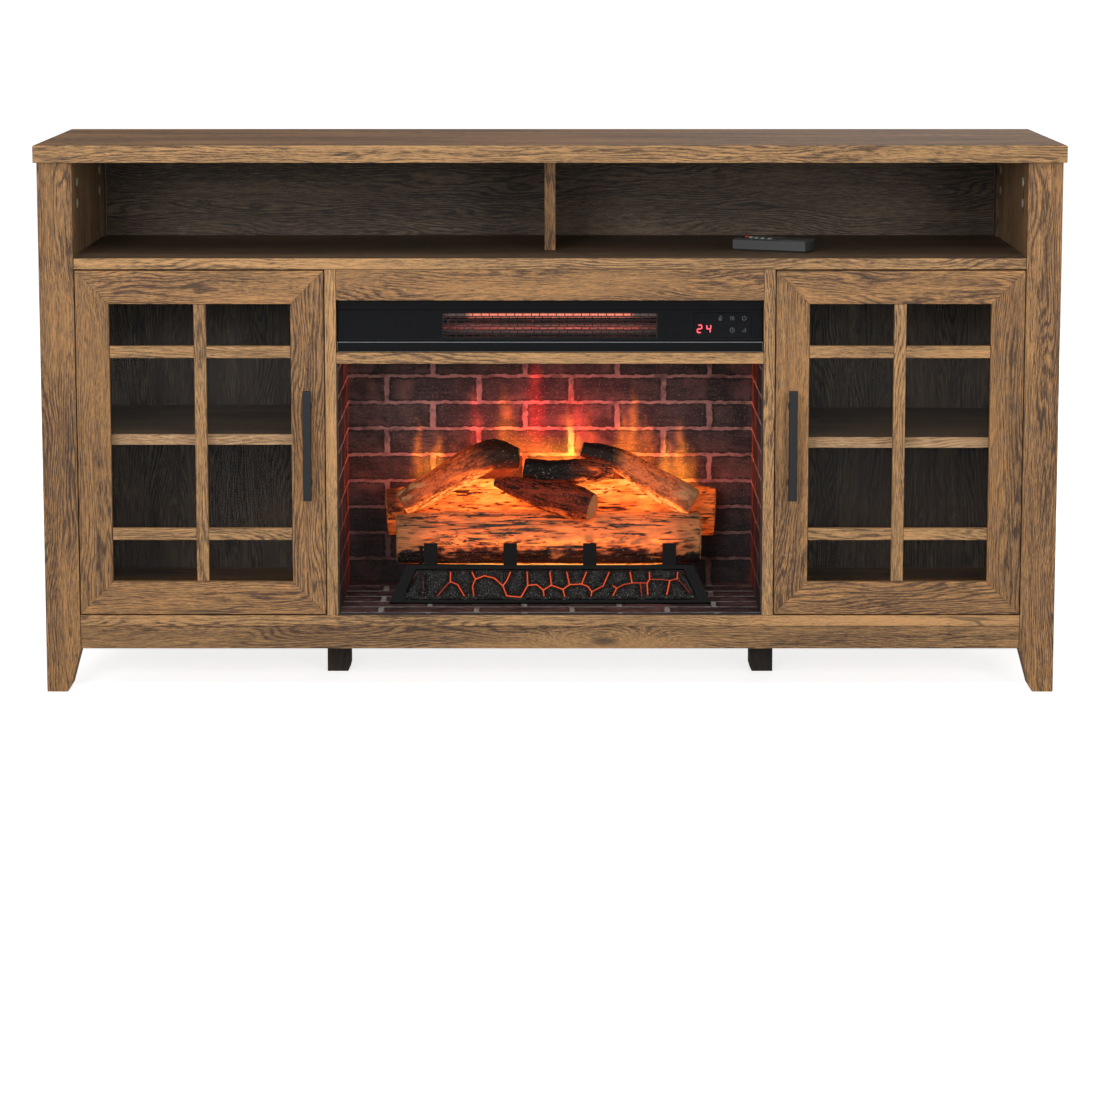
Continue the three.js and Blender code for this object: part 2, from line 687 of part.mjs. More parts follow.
// The printed liner: one sheet folded into a floor, a back and two sides.
function fireboxLiner() {
  const outer = uprightInner - seat;
  const inner = outer - firebox.liner;
  const y0 = yBoards + firebox.setback;
  const low = zBottomBoard + seat;
  const high = zFireboxTop - seat;
  const body = block([-outer, y0, low], [outer, yFireboxBack, high]);
  const room = block([-inner, y0 - overrun, zHearth], [inner, yFireboxBack - firebox.liner, high + overrun]);
  return piece('firebox_liner', cut(body, room), finish.brick);
}

const slopeLength = Math.hypot(emberFrame.height, emberFrame.depth);
const slopeAngle = Math.atan2(emberFrame.depth, emberFrame.height);
const yEmber = yFront + emberFrame.setback;
const zEmber = zHearth + seat + emberFrame.thickness * Math.sin(slopeAngle);
const zPlate = zHearth + seat + grate.plate;

// Half the width of the ember frame at a distance up its slope, less an inset.
function emberHalf(up, inset) {
  return THREE.MathUtils.lerp(emberFrame.bottomWidth, emberFrame.topWidth, up / slopeLength) / 2 - inset;
}

// Turns a piece drawn flat, with x across and y up the slope, onto the frame's slope.
function ontoSlope(geometry) {
  return geometry.rotateX(Math.PI / 2 - slopeAngle).translate(0, yEmber, zEmber);
}

// The window for the coals, its lower corners rounded, less a clearance all round.
function windowOutline(clearance) {
  const low = emberWindow.bottomBar + clearance;
  const high = slopeLength - emberWindow.topBar - clearance;
  const side = emberWindow.sideBar + clearance;
  const corner = emberWindow.corner;
  const shape = new THREE.Shape();
  shape.moveTo(-emberHalf(high, side), high);
  shape.lineTo(-emberHalf(low + corner, side), low + corner);
  shape.quadraticCurveTo(-emberHalf(low, side), low, corner - emberHalf(low, side), low);
  shape.lineTo(emberHalf(low, side) - corner, low);
  shape.quadraticCurveTo(emberHalf(low, side), low, emberHalf(low + corner, side), low + corner);
  shape.lineTo(emberHalf(high, side), high);
  shape.closePath();
  return shape;
}

function sloping(shape, front, back) {
  return ontoSlope(extrude(shape, front + back).translate(0, 0, -back));
}

// The sheet that leans back from the grate's front edge, before its window is cut.
function emberSheet() {
  const outline = polygon([
    [-emberHalf(0, 0), 0], [emberHalf(0, 0), 0],
    [emberHalf(slopeLength, 0), slopeLength], [-emberHalf(slopeLength, 0), slopeLength],
  ]);
  return sloping(outline, 0, emberFrame.thickness);
}

// How far the coals stand out at a place on the bed, with both as shares from 0 to 1.
// Two staggered rows of domes leave narrow cracks between them.
function coalRise(across, up) {
  const upper = up > 0.5 ? 1 : 0;
  const column = across * coals.columns + upper / 2;
  const fromMiddle = Math.abs(column - Math.floor(column) - 0.5) * 2;
  const fromRow = Math.abs(up * 2 - upper - 0.5) * 2;
  const dome = Math.sqrt((1 - fromMiddle ** 4) * (1 - fromRow ** 4));
  const uneven = 0.8 + 0.2 * Math.sin(Math.floor(column) * 2.4 + upper);
  return coals.rise * dome * uneven - coals.crack;
}

// The coal bed fills the frame's window: a field of domes in front, flat behind.
function emberBed() {
  const columns = coals.gridAcross;
  const rows = coals.gridUp;
  const positions = [];
  const faces = [];
  for (let j = 0; j <= rows; j += 1) {
    for (let i = 0; i <= columns; i += 1) {
      const up = j / rows * slopeLength;
      const rise = j === 0 || j === rows ? -coals.crack : coalRise(i / columns, j / rows);
      positions.push((i / columns * 2 - 1) * emberHalf(up, 0), up, rise);
    }
  }
  const at = (i, j) => j * (columns + 1) + i;
  const quad = (a, b, c, d) => faces.push(a, b, c, a, c, d);
  const rim = [];
  for (let i = 0; i < columns; i += 1) rim.push(at(i, 0));
  for (let j = 0; j < rows; j += 1) rim.push(at(columns, j));
  for (let i = columns; i > 0; i -= 1) rim.push(at(i, rows));
  for (let j = rows; j > 0; j -= 1) rim.push(at(0, j));
  for (let j = 0; j < rows; j += 1) {
    for (let i = 0; i < columns; i += 1) quad(at(i, j), at(i + 1, j), at(i + 1, j + 1), at(i, j + 1));
  }
  const zBack = -emberFrame.thickness - coals.behind;
  const backStart = positions.length / 3;
  rim.forEach((corner) => positions.push(positions[3 * corner], positions[3 * corner + 1], zBack));
  positions.push(0, slopeLength / 2, zBack);
  rim.forEach((corner, index) => {
    const next = (index + 1) % rim.length;
    quad(backStart + index, backStart + next, rim[next], corner);
    faces.push(backStart + next, backStart + index, backStart + rim.length);
  });
  const field = new THREE.BufferGeometry();
  field.setAttribute('position', new THREE.Float32BufferAttribute(positions, 3));
  field.setIndex(faces);
  const within = sloping(windowOutline(seat), coals.rise + overrun, emberFrame.thickness + coals.behind + overrun);
  return piece('ember_bed', geometryOf(solid(ontoSlope(field)).intersect(solid(within))), finish.char);
}

// Logs

// Each log follows points given as shares of the log space: across from the middle,
// back from its front, up from the hearth, and the radius as a share of its thickness.
// A flat share below 1 makes the log shallower than it is tall.
const logShares = {
  front: {
    flatShare: 0.8,
    seed: 1,
    points: [
      [-0.46, 0.313, 0.364, 0.469],
      [-0.24, 0.313, 0.368, 0.5],
      [0, 0.313, 0.368, 0.512],
      [0.24, 0.313, 0.368, 0.5],
      [0.452, 0.313, 0.364, 0.475],
    ],
  },
  rear: {
    flatShare: 0.7,
    seed: 2,
    points: [
      [-0.494, 0.687, 0.499, 0.438],
      [-0.26, 0.693, 0.525, 0.525],
      [0, 0.693, 0.533, 0.544],
      [0.26, 0.693, 0.525, 0.525],
      [0.5, 0.687, 0.499, 0.456],
    ],
  },
  left: {
    flatShare: 1,
    seed: 3,
    points: [
      [-0.446, 0.367, 0.586, 0.225],
      [-0.368, 0.413, 0.677, 0.231],
      [-0.298, 0.44, 0.768, 0.25],
      [-0.23, 0.453, 0.855, 0.263],
      [-0.16, 0.453, 0.903, 0.25],
      [-0.092, 0.44, 0.886, 0.181],
    ],
  },
  right: {
    flatShare: 1,
    seed: 4,
    points: [
      [0.094, 0.44, 0.942, 0.138],
      [0.156, 0.44, 0.907, 0.169],
      [0.216, 0.433, 0.86, 0.2],
      [0.28, 0.42, 0.768, 0.231],
      [0.36, 0.393, 0.668, 0.263],
      [0.432, 0.36, 0.59, 0.269],
    ],
  },
  cross: {
    flatShare: 1,
    seed: 5,
    points: [
      [-0.08, 0.4, 0.816, 0.206],
      [-0.016, 0.387, 0.79, 0.206],
      [0.052, 0.38, 0.792, 0.206],
      [0.122, 0.387, 0.805, 0.194],
      [0.19, 0.4, 0.812, 0.175],
    ],
  },
  centre: {
    flatShare: 1,
    seed: 6,
    points: [
      [-0.168, 0.373, 0.733, 0.087],
      [-0.1, 0.333, 0.703, 0.163],
      [-0.03, 0.267, 0.66, 0.237],
      [0.038, 0.2, 0.638, 0.287],
      [0.092, 0.133, 0.612, 0.287],
      [0.128, 0.08, 0.594, 0.263],
    ],
  },
};

// A log as a closed sweep of uneven rings, its surface moved outwards by grow.
function logGeometry(name, grow = 0) {
  const { points, flatShare, seed } = logShares[name];
  const places = points.map(([across, back, up]) => new THREE.Vector3(
    across * logSpace.width,
    yFront + logSpace.setback + back * logSpace.depth,
    zHearth + up * logSpace.height,
  ));
  const path = new THREE.CatmullRomCurve3(places);
  const radii = new THREE.SplineCurve(points.map(([, , , radius], index) => new THREE.Vector2(index, radius)));
  const positions = [];
  const faces = [];
  const backwards = new THREE.Vector3(0, 1, 0);
  for (let ring = 0; ring <= bark.rings; ring += 1) {
    const along = ring / bark.rings;
    const tangent = path.getTangent(along);
    const back = backwards.clone().addScaledVector(tangent, -backwards.dot(tangent)).normalize();
    const up = new THREE.Vector3().crossVectors(tangent, back);
    const centre = path.getPoint(along);
    if (ring === 0) centre.addScaledVector(tangent, -grow);
    if (ring === bark.rings) centre.addScaledVector(tangent, grow);
    for (let index = 0; index < bark.sides; index += 1) {
      const angle = index / bark.sides * Math.PI * 2;
      const knots = Math.sin(3 * angle + 9 * along + seed) / 24;
      const ridges = Math.sin(5 * angle - 14 * along + 2 * seed) / 32;
      const radius = radii.getPoint(along).y * logSpace.thickness * (1 + knots + ridges) + grow;
      positions.push(...centre.clone()
        .addScaledVector(back, Math.cos(angle) * radius * flatShare)
        .addScaledVector(up, Math.sin(angle) * radius)
        .toArray());
    }
  }
  const lastRing = bark.rings * bark.sides;
  for (const [along, out] of [[0, -grow], [1, grow]]) {
    positions.push(...path.getPoint(along).addScaledVector(path.getTangent(along), out).toArray());
  }
  const startCap = lastRing + bark.sides;
  for (let index = 0; index < bark.sides; index += 1) {
    const next = (index + 1) % bark.sides;
    for (let ring = 0; ring < lastRing; ring += bark.sides) {
      const a = ring + index;
      const b = ring + next;
      faces.push(a, b, b + bark.sides, a, b + bark.sides, a + bark.sides);
    }
    faces.push(startCap, next, index);
    faces.push(startCap + 1, lastRing + index, lastRing + next);
  }
  const geometry = new THREE.BufferGeometry();
  geometry.setAttribute('position', new THREE.Float32BufferAttribute(positions, 3));
  geometry.setIndex(faces);
  return geometry;
}

// Each log is notched where it rests on the ones laid before it.
function logPieces() {
  const grown = (...names) => names.map((name) => logGeometry(name, seat));
  const resting = (name, ...under) => cut(logGeometry(name), ...grown(...under));
  return [
    piece('front_log', logGeometry('front'), finish.litBark),
    piece('rear_log', resting('rear', 'front'), finish.ember),
    piece('left_log', resting('left', 'front', 'rear'), finish.tanBark),
    piece('right_log', resting('right', 'front', 'rear'), finish.tanBark),
    piece('cross_log', resting('cross', 'rear', 'left', 'right'), finish.char),
    piece('centre_log', resting('centre', 'front', 'rear', 'left', 'cross'), finish.char),
  ];
}

const yRotor = yFront + rotor.setback;
const zRotor = zHearth + rotor.height;

// The grate is one black steel piece: a base plate, the sloping frame round the coals,
// four fingers in front of the front log, and two cradles that carry the long logs and
// the flame rotor.
function logGrate() {
  const zBase = zHearth + seat;
  const plate = block(
    [-grate.width / 2, yFront + grate.front, zBase],
    [grate.width / 2, yFront + grate.back, zPlate],
  );
  const cradles = sides.map(([side]) => block(
    [side * cradle.spread, yFront + cradle.front, zBase],
    [side * (cradle.spread + cradle.thickness), yFront + cradle.back, zHearth + cradle.height],
  ));
  const y = yFront + finger.setback;
  const zTip = zHearth + finger.height;
  const outline = [
    [y, zBase], [y + finger.thickness, zBase], [y + finger.thickness, zTip],
    [y + finger.chamfer, zTip], [y, zTip - finger.chamfer],
  ];
  const fingers = row(finger.count, finger.pitch).map((x) =>
    alongX(outline, x - finger.width / 2, x + finger.width / 2));
  const bearing = cylinderX(rotor.shaft + seat, 2 * (cradle.spread + cradle.thickness + overrun), rotor.sides)
    .translate(0, yRotor, zRotor);
  const room = sloping(windowOutline(0), overrun, emberFrame.thickness + coals.behind + seat);
  const frame = join(plate, emberSheet(), ...cradles, ...fingers);
  const saddles = ['front', 'rear'].map((name) => logGeometry(name, seat));
  return piece('log_grate', cut(frame, room, bearing, ...saddles), finish.castIron);
}

// The flame rotor: reflecting vanes on a thin shaft, between the grate's cradles.
function flameRotor() {
  const shaft = cylinderX(rotor.shaft, 2 * cradle.spread + cradle.thickness, rotor.sides);
  const vanes = Array.from({ length: rotor.vanes }, (_, index) =>
    new THREE.BoxGeometry(2 * (cradle.spread - rotorEnd), 2 * rotor.radius, rotor.vaneThickness)
      .rotateX(index / rotor.vanes * Math.PI));
  return piece('flame_rotor', join(shaft, ...vanes), finish.steel, 0, yRotor, zRotor);
}

// The lamp board behind the coals: a strip with a row of small lamps.
function ledStrip() {
  const strip = new THREE.BoxGeometry(ledBoard.length, ledBoard.width, ledBoard.thickness)
    .translate(0, 0, ledBoard.thickness / 2);
  const lamps = row(led.count, ledBoard.length / led.count).map((x) =>
    new THREE.CylinderGeometry(led.radius, led.radius, led.height + ledBoard.thickness, led.sides)
      .rotateX(Math.PI / 2)
      .translate(x, 0, (led.height + ledBoard.thickness) / 2));
  return piece('led_strip', join(strip, ...lamps), finish.board, 0, yFront + ledBoard.setback, zPlate + seat);
}

// Remote control

// Key centres as shares of the remote's length and width, from its far left corner.
const keyShares = {
  power: [0.118, 0.28],
  flame: [0.205, 0.52],
  heat: [0.296, 0.675],
  timer: [0.387, 0.755],
  level: [0.482, 0.8],
};

// The face panel's corners as shares of the remote's length and width.
const facePanelShares = [
  [0.045, 0.1], [0.6, 0.1], [0.64, 0.16], [0.64, 0.86], [0.62, 0.9], [0.5, 0.89],
  [0.36, 0.84], [0.24, 0.72], [0.15, 0.56], [0.09, 0.4],
];

function onRemote([along, across]) {
  return [(along - 0.5) * remote.length, (0.5 - across) * remote.width];
}

// The case's outline in plan: straight sides and slightly bowed ends.
function remoteOutline() {
  const half = remote.length / 2 - remote.edge;
  const wide = remote.width / 2 - remote.edge;
  const shape = new THREE.Shape();
  shape.moveTo(remote.bow - half, -wide);
  shape.lineTo(half - remote.bow, -wide);
  shape.quadraticCurveTo(half + remote.bow, 0, half - remote.bow, wide);
  shape.lineTo(remote.bow - half, wide);
  shape.quadraticCurveTo(-half - remote.bow, 0, remote.bow - half, -wide);
  return shape;
}

function keyOutline(clearance) {
  const width = key.width + 2 * clearance;
  return roundedRectangle(width, key.length + 2 * clearance, width * 0.45);
}

// The remote lies on the open shelf, turned a little, in a group of its own.
function remoteGroup() {
  const group = new THREE.Group();
  group.position.set(remotePlace.x, yFront + remotePlace.setback, zMediaShelf + seat);
  group.rotation.z = THREE.MathUtils.degToRad(remote.turnDegrees);
  const shell = new THREE.ExtrudeGeometry(remoteOutline(), {
    depth: remote.height - 2 * remote.edge,
    bevelEnabled: true,
    bevelThickness: remote.edge,
    bevelSize: remote.edge,
    bevelSegments: 1,
    curveSegments: 6,
  }).translate(0, 0, remote.edge);
  const recess = extrude(polygon(facePanelShares.map(onRemote)), remotePanel.depth + overrun)
    .translate(0, 0, remote.height - remotePanel.depth);
  const zFace = remote.height - remotePanel.depth;
  const zWell = zFace - key.depth;
  const wells = Object.values(keyShares).map((share) => {
    const [x, y] = onRemote(share);
    return extrude(keyOutline(key.clearance), key.depth + overrun).translate(x, y, zWell);
  });
  group.add(piece('remote_case', cut(shell, recess, ...wells), finish.remoteShell));
  for (const [name, share] of Object.entries(keyShares)) {
    const [x, y] = onRemote(share);
    const height = key.depth + key.proud - key.travel - seat;
    const material = name === 'power' ? finish.redRubber : finish.greyRubber;
    const geometry = extrude(keyOutline(0), height);
    group.add(piece(`remote_${name}_key`, geometry, material, x, y, zWell + key.travel + seat));
  }
  return group;
}

// The whole stand

const fireplaceStand = new THREE.Group();
fireplaceStand.add(
  topPanel(),
  ...legPieces(),
  ...sidePanels(),
  notchedBoard('media_shelf', zDoorwayTop),
  notchedBoard('bottom_panel', zBottomUnder),
  mediaDivider(),
  frontRail(),
  ...centreFeet(),
  ...uprights(),
  ...cabinetShelves(),
  ...backPanels(),
  headerRail(),
  heaterShelf(),
  ...doorPieces(),
  heaterFascia(),
  heaterGrille(),
  displayWindow(),
  heaterCasePiece(),
  quartzTube(),
  blowerWheel(),
  fireboxLiner(),
  logGrate(),
  emberBed(),
  ...logPieces(),
  flameRotor(),
  ledStrip(),
  remoteGroup(),
);

export default fireplaceStand;
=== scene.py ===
# %% [markdown]
# A farmhouse television stand with an electric fireplace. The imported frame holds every
# board, joint and hinge at its real size. This file gives the pieces their looks: printed
# oak board, glazed doors, a glossy heater front, a brick-print firebox with a lit log set,
# and a small remote control. Each step says what the real thing is before it is made.

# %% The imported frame
import math

import bpy
import numpy as np
from mathutils import Matrix, Vector
from mathutils import noise as shape_noise


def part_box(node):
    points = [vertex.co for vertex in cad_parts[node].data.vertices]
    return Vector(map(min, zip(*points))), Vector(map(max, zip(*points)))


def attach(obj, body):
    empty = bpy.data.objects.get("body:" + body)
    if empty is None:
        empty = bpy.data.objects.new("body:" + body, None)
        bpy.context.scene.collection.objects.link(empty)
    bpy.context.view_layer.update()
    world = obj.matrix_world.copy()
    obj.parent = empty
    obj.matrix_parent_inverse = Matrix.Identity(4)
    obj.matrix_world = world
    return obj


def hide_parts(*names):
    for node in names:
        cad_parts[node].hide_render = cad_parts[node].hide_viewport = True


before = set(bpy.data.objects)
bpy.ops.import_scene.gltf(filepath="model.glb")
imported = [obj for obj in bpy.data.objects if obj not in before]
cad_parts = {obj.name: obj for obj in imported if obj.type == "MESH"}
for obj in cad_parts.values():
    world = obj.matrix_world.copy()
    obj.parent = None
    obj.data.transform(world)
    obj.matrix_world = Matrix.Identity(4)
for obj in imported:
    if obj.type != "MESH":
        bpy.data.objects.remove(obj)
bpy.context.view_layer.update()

# %% [markdown]
# A few small helpers come first. Sizes in this file are real ones, written in millimetres
# and turned to metres by MM. Colours are written as screen hex codes, because that is how
# a paint or print is usually picked, and one function turns them to the linear values
# that light is added up in. A Mix node set to colours takes the share as its input 0 and
# the two colours as its inputs 6 and 7.

# %% Helpers
MM = 0.001


def srgb(code):
    """A hex colour as linear red, green, blue and alpha."""
    shares = [int(code[place:place + 2], 16) / 255 for place in (0, 2, 4)]
    linear = [s / 12.92 if s <= 0.04045 else ((s + 0.055) / 1.055) ** 2.4 for s in shares]
    return (*linear, 1.0)


def first_output(node):
    """A node's first output in use."""
    return next(socket for socket in node.outputs if socket.enabled)


def add_node(tree, kind, inputs=(), **settings):
    """Adds a shader node, sets its properties, and sets its inputs or links them.

    Inputs are given in their order, or by name or number. An input given a node is linked
    to that node's first output in use."""
    made = tree.nodes.new(f"ShaderNode{kind}")
    for name, value in settings.items():
        setattr(made, name, value)
    for name, value in inputs.items() if isinstance(inputs, dict) else enumerate(inputs):
        if isinstance(value, bpy.types.Node):
            value = first_output(value)
        if isinstance(value, bpy.types.NodeSocket):
            tree.links.new(value, made.inputs[name])
        else:
            made.inputs[name].default_value = value
    return made


def join_up(tree, shader, **sources):
    """Links nodes to the shader's sockets, whose spaces are written as underscores."""
    for name, source in sources.items():
        tree.links.new(first_output(source), shader.inputs[name.replace("_", " ")])


def new_finish(name, **sockets):
    """A material with one Principled shader, whose uniform values are set on its own sockets."""
    made = bpy.data.materials.new(name)
    made.use_nodes = True
    tree = made.node_tree
    tree.nodes.clear()
    shader = add_node(tree, "BsdfPrincipled", sockets)
    add_node(tree, "OutputMaterial", [shader])
    return made, tree, shader


def pick(piece):
    """Makes one object the only selected one, and the active one."""
    bpy.ops.object.select_all(action="DESELECT")
    piece.select_set(True)
    bpy.context.view_layer.objects.active = piece


def settle(piece):
    """Moves a piece's place, turn and size into its mesh, as a CAD node has them."""
    pick(piece)
    bpy.ops.object.transform_apply(location=True, rotation=True, scale=True)


def start_box(name, low, high):
    """A block between two corners, in metres, to be shaped further in edit mode."""
    bpy.ops.object.select_all(action="DESELECT")
    low, high = Vector(low), Vector(high)
    bpy.ops.mesh.primitive_cube_add(size=1, location=(low + high) / 2)
    made = bpy.context.object
    made.name = made.data.name = name
    made.scale = high - low
    settle(made)
    return made


def finish_with(piece, kind, **settings):
    """Adds a modifier, sets it and applies it."""
    pick(piece)
    modifier = piece.modifiers.new(kind.lower(), kind)
    for name, value in settings.items():
        setattr(modifier, name, value)
    bpy.ops.object.modifier_apply(modifier=modifier.name)


def ease_edges(piece, width, segments=2, angle=35):
    """Rounds a piece's sharp edges by a small real radius, and smooths the rounding but no flat face."""
    finish_with(piece, "BEVEL", width=width, segments=segments, limit_method="ANGLE",
                angle_limit=math.radians(angle))
    pick(piece)
    bpy.ops.object.shade_smooth_by_angle(angle=math.radians(max(angle, 50)))
    finish_with(piece, "WEIGHTED_NORMAL", keep_sharp=True)


def select_faces(piece, wanted):
    """Goes into edit mode with only the faces selected that the test wants."""
    pick(piece)
    bpy.ops.object.mode_set(mode="EDIT")
    bpy.ops.mesh.select_mode(type="FACE")
    bpy.ops.mesh.select_all(action="DESELECT")
    bpy.ops.object.mode_set(mode="OBJECT")
    for polygon in piece.data.polygons:
        polygon.select = wanted(polygon)
    bpy.ops.object.mode_set(mode="EDIT")


def dress(piece, material, body):
    """Gives a new piece its material and its body."""
    piece.data.materials.clear()
    piece.data.materials.append(material)
    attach(piece, body)


# %% [markdown]
# The photograph was taken from about 5 m away and 1.1 m up, with a long lens. The camera
# looks down by eight degrees, and a small lens shift holds the stand in the upper half of
# the frame, as the photograph does.

# %% Camera
PHOTO_SIDE = 1100              # pixels across the square frame
FOCAL_PIXELS = 3400            # fitted focal length, in pixels of that frame
SHIFT_PIXELS = 143             # how far the lens shift lifts the stand in it
SENSOR = 36                    # mm
DISTANCE, EYE_HEIGHT = 5.0519, 1.1098      # metres
LOOKS_DOWN = 8.046             # degrees
camera_data = bpy.data.cameras.new("camera")
camera_data.sensor_width = SENSOR
camera_data.lens = FOCAL_PIXELS / PHOTO_SIDE * SENSOR
camera_data.shift_y = -SHIFT_PIXELS / PHOTO_SIDE
camera = bpy.data.objects.new("camera", camera_data)
bpy.context.scene.collection.objects.link(camera)
camera.location = (0, -DISTANCE, EYE_HEIGHT)
camera.rotation_euler = (math.radians(90 - LOOKS_DOWN), 0, 0)
bpy.context.scene.camera = camera
print("lens", round(camera_data.lens, 1), "mm")

# %% [markdown]
# The studio is a pale floor under a white sky, lit by large soft lamps. The sky shows white
# to the camera, in reflections and through glass, and gives the pieces a much weaker even
# light, so that the open shelf and the cabinets fall dark inside as they do in the photo.

# %% Floor, sky and lamps
bpy.context.scene.view_settings.view_transform = "Standard"
AMBIENT = 0.36                 # even light from all round, where 1 shows a colour as written
world = bpy.data.worlds.new("studio")
bpy.context.scene.world = world
world.use_nodes = True
world.node_tree.nodes.clear()
path = add_node(world.node_tree, "LightPath")
seen = path.outputs["Is Camera Ray"]
for ray in ("Is Glossy Ray", "Is Transmission Ray"):
    seen = add_node(world.node_tree, "Math", [seen, path.outputs[ray]], operation="MAXIMUM")
level = add_node(world.node_tree, "MapRange", {"Value": seen, "To Min": AMBIENT})
sky = add_node(world.node_tree, "Background", {"Color": srgb("FFFFFF"), "Strength": level})
add_node(world.node_tree, "OutputWorld", {"Surface": sky})
STAND_MIDDLE = Vector((0, 0, 0.4))


def lamp(name, place, size, watts):
    """A soft square lamp aimed at the middle of the stand."""
    data = bpy.data.lights.new(name, "AREA")
    data.shape = "SQUARE"
    data.size = size
    data.energy = watts
    made = bpy.data.objects.new(name, data)
    bpy.context.scene.collection.objects.link(made)
    made.location = place
    made.rotation_euler = (STAND_MIDDLE - Vector(place)).to_track_quat("-Z", "Y").to_euler()


lamp("key_lamp", (-1.4, -4.4, 1.6), 1.3, 80)
lamp("fill_lamp", (1.9, -4.3, 1.3), 1.3, 48)
lamp("top_lamp", (0.0, -2.0, 3.0), 1.6, 46)
lamp("rear_lamp", (1.0, 4.2, 1.4), 1.5, 34)

FLOOR_SIDE = 240               # metres, so that its edge lies at the horizon
PAPER_GLOW = 0.72              # lifts the lit floor to white for the camera alone
bpy.ops.object.select_all(action="DESELECT")
bpy.ops.mesh.primitive_plane_add(size=FLOOR_SIDE)
floor = bpy.context.object
floor.name = "studio_floor"
paper, tree, shader = new_finish("white_paper", Roughness=0.9, **{
    "Base Color": srgb("F4F4F3"), "Specular IOR Level": 0.0, "Emission Color": srgb("FFFFFF")})
path = add_node(tree, "LightPath")
lift = add_node(tree, "Math", [path.outputs["Is Camera Ray"], PAPER_GLOW], operation="MULTIPLY")
join_up(tree, shader, Emission_Strength=lift)
floor.data.materials.append(paper)
print("studio", len(bpy.data.lights), "lamps")

# %% [markdown]
# The boards are particle board under a paper printed as rustic oak. Such a print shows
# fine fibres 1 to 2 mm apart that run along the board, growth rings that swell into arcs,
# short dark pores, a few long drying cracks and the odd knot that the fibres bend round.
# All of that is one node group, which works in millimetres with its X along the grain.
# Every board then has its own small material, that turns and shifts the pattern so that
# no two boards look alike.

# %% The oak print
SMOOTH = {"interpolation_type": "SMOOTHSTEP"}


def place_in_mm(tree):
    """The place on a piece in the frame's own axes, in millimetres."""
    where = add_node(tree, "TexCoord")
    scaled = add_node(tree, "VectorMath", {0: where.outputs["Object"], "Scale": 1 / MM}, operation="SCALE")
    return scaled.outputs[0]


def streaked(tree, place, long, across, detail=2.0, rough=0.5):
    """A noise pattern with a real length along X and a real width across it, in millimetres."""
    sized = add_node(tree, "VectorMath", [place, (1 / long, 1 / across, 1 / across)], operation="MULTIPLY")
    return add_node(tree, "TexNoise", {"Vector": sized, "Scale": 1.0, "Detail": detail, "Roughness": rough})


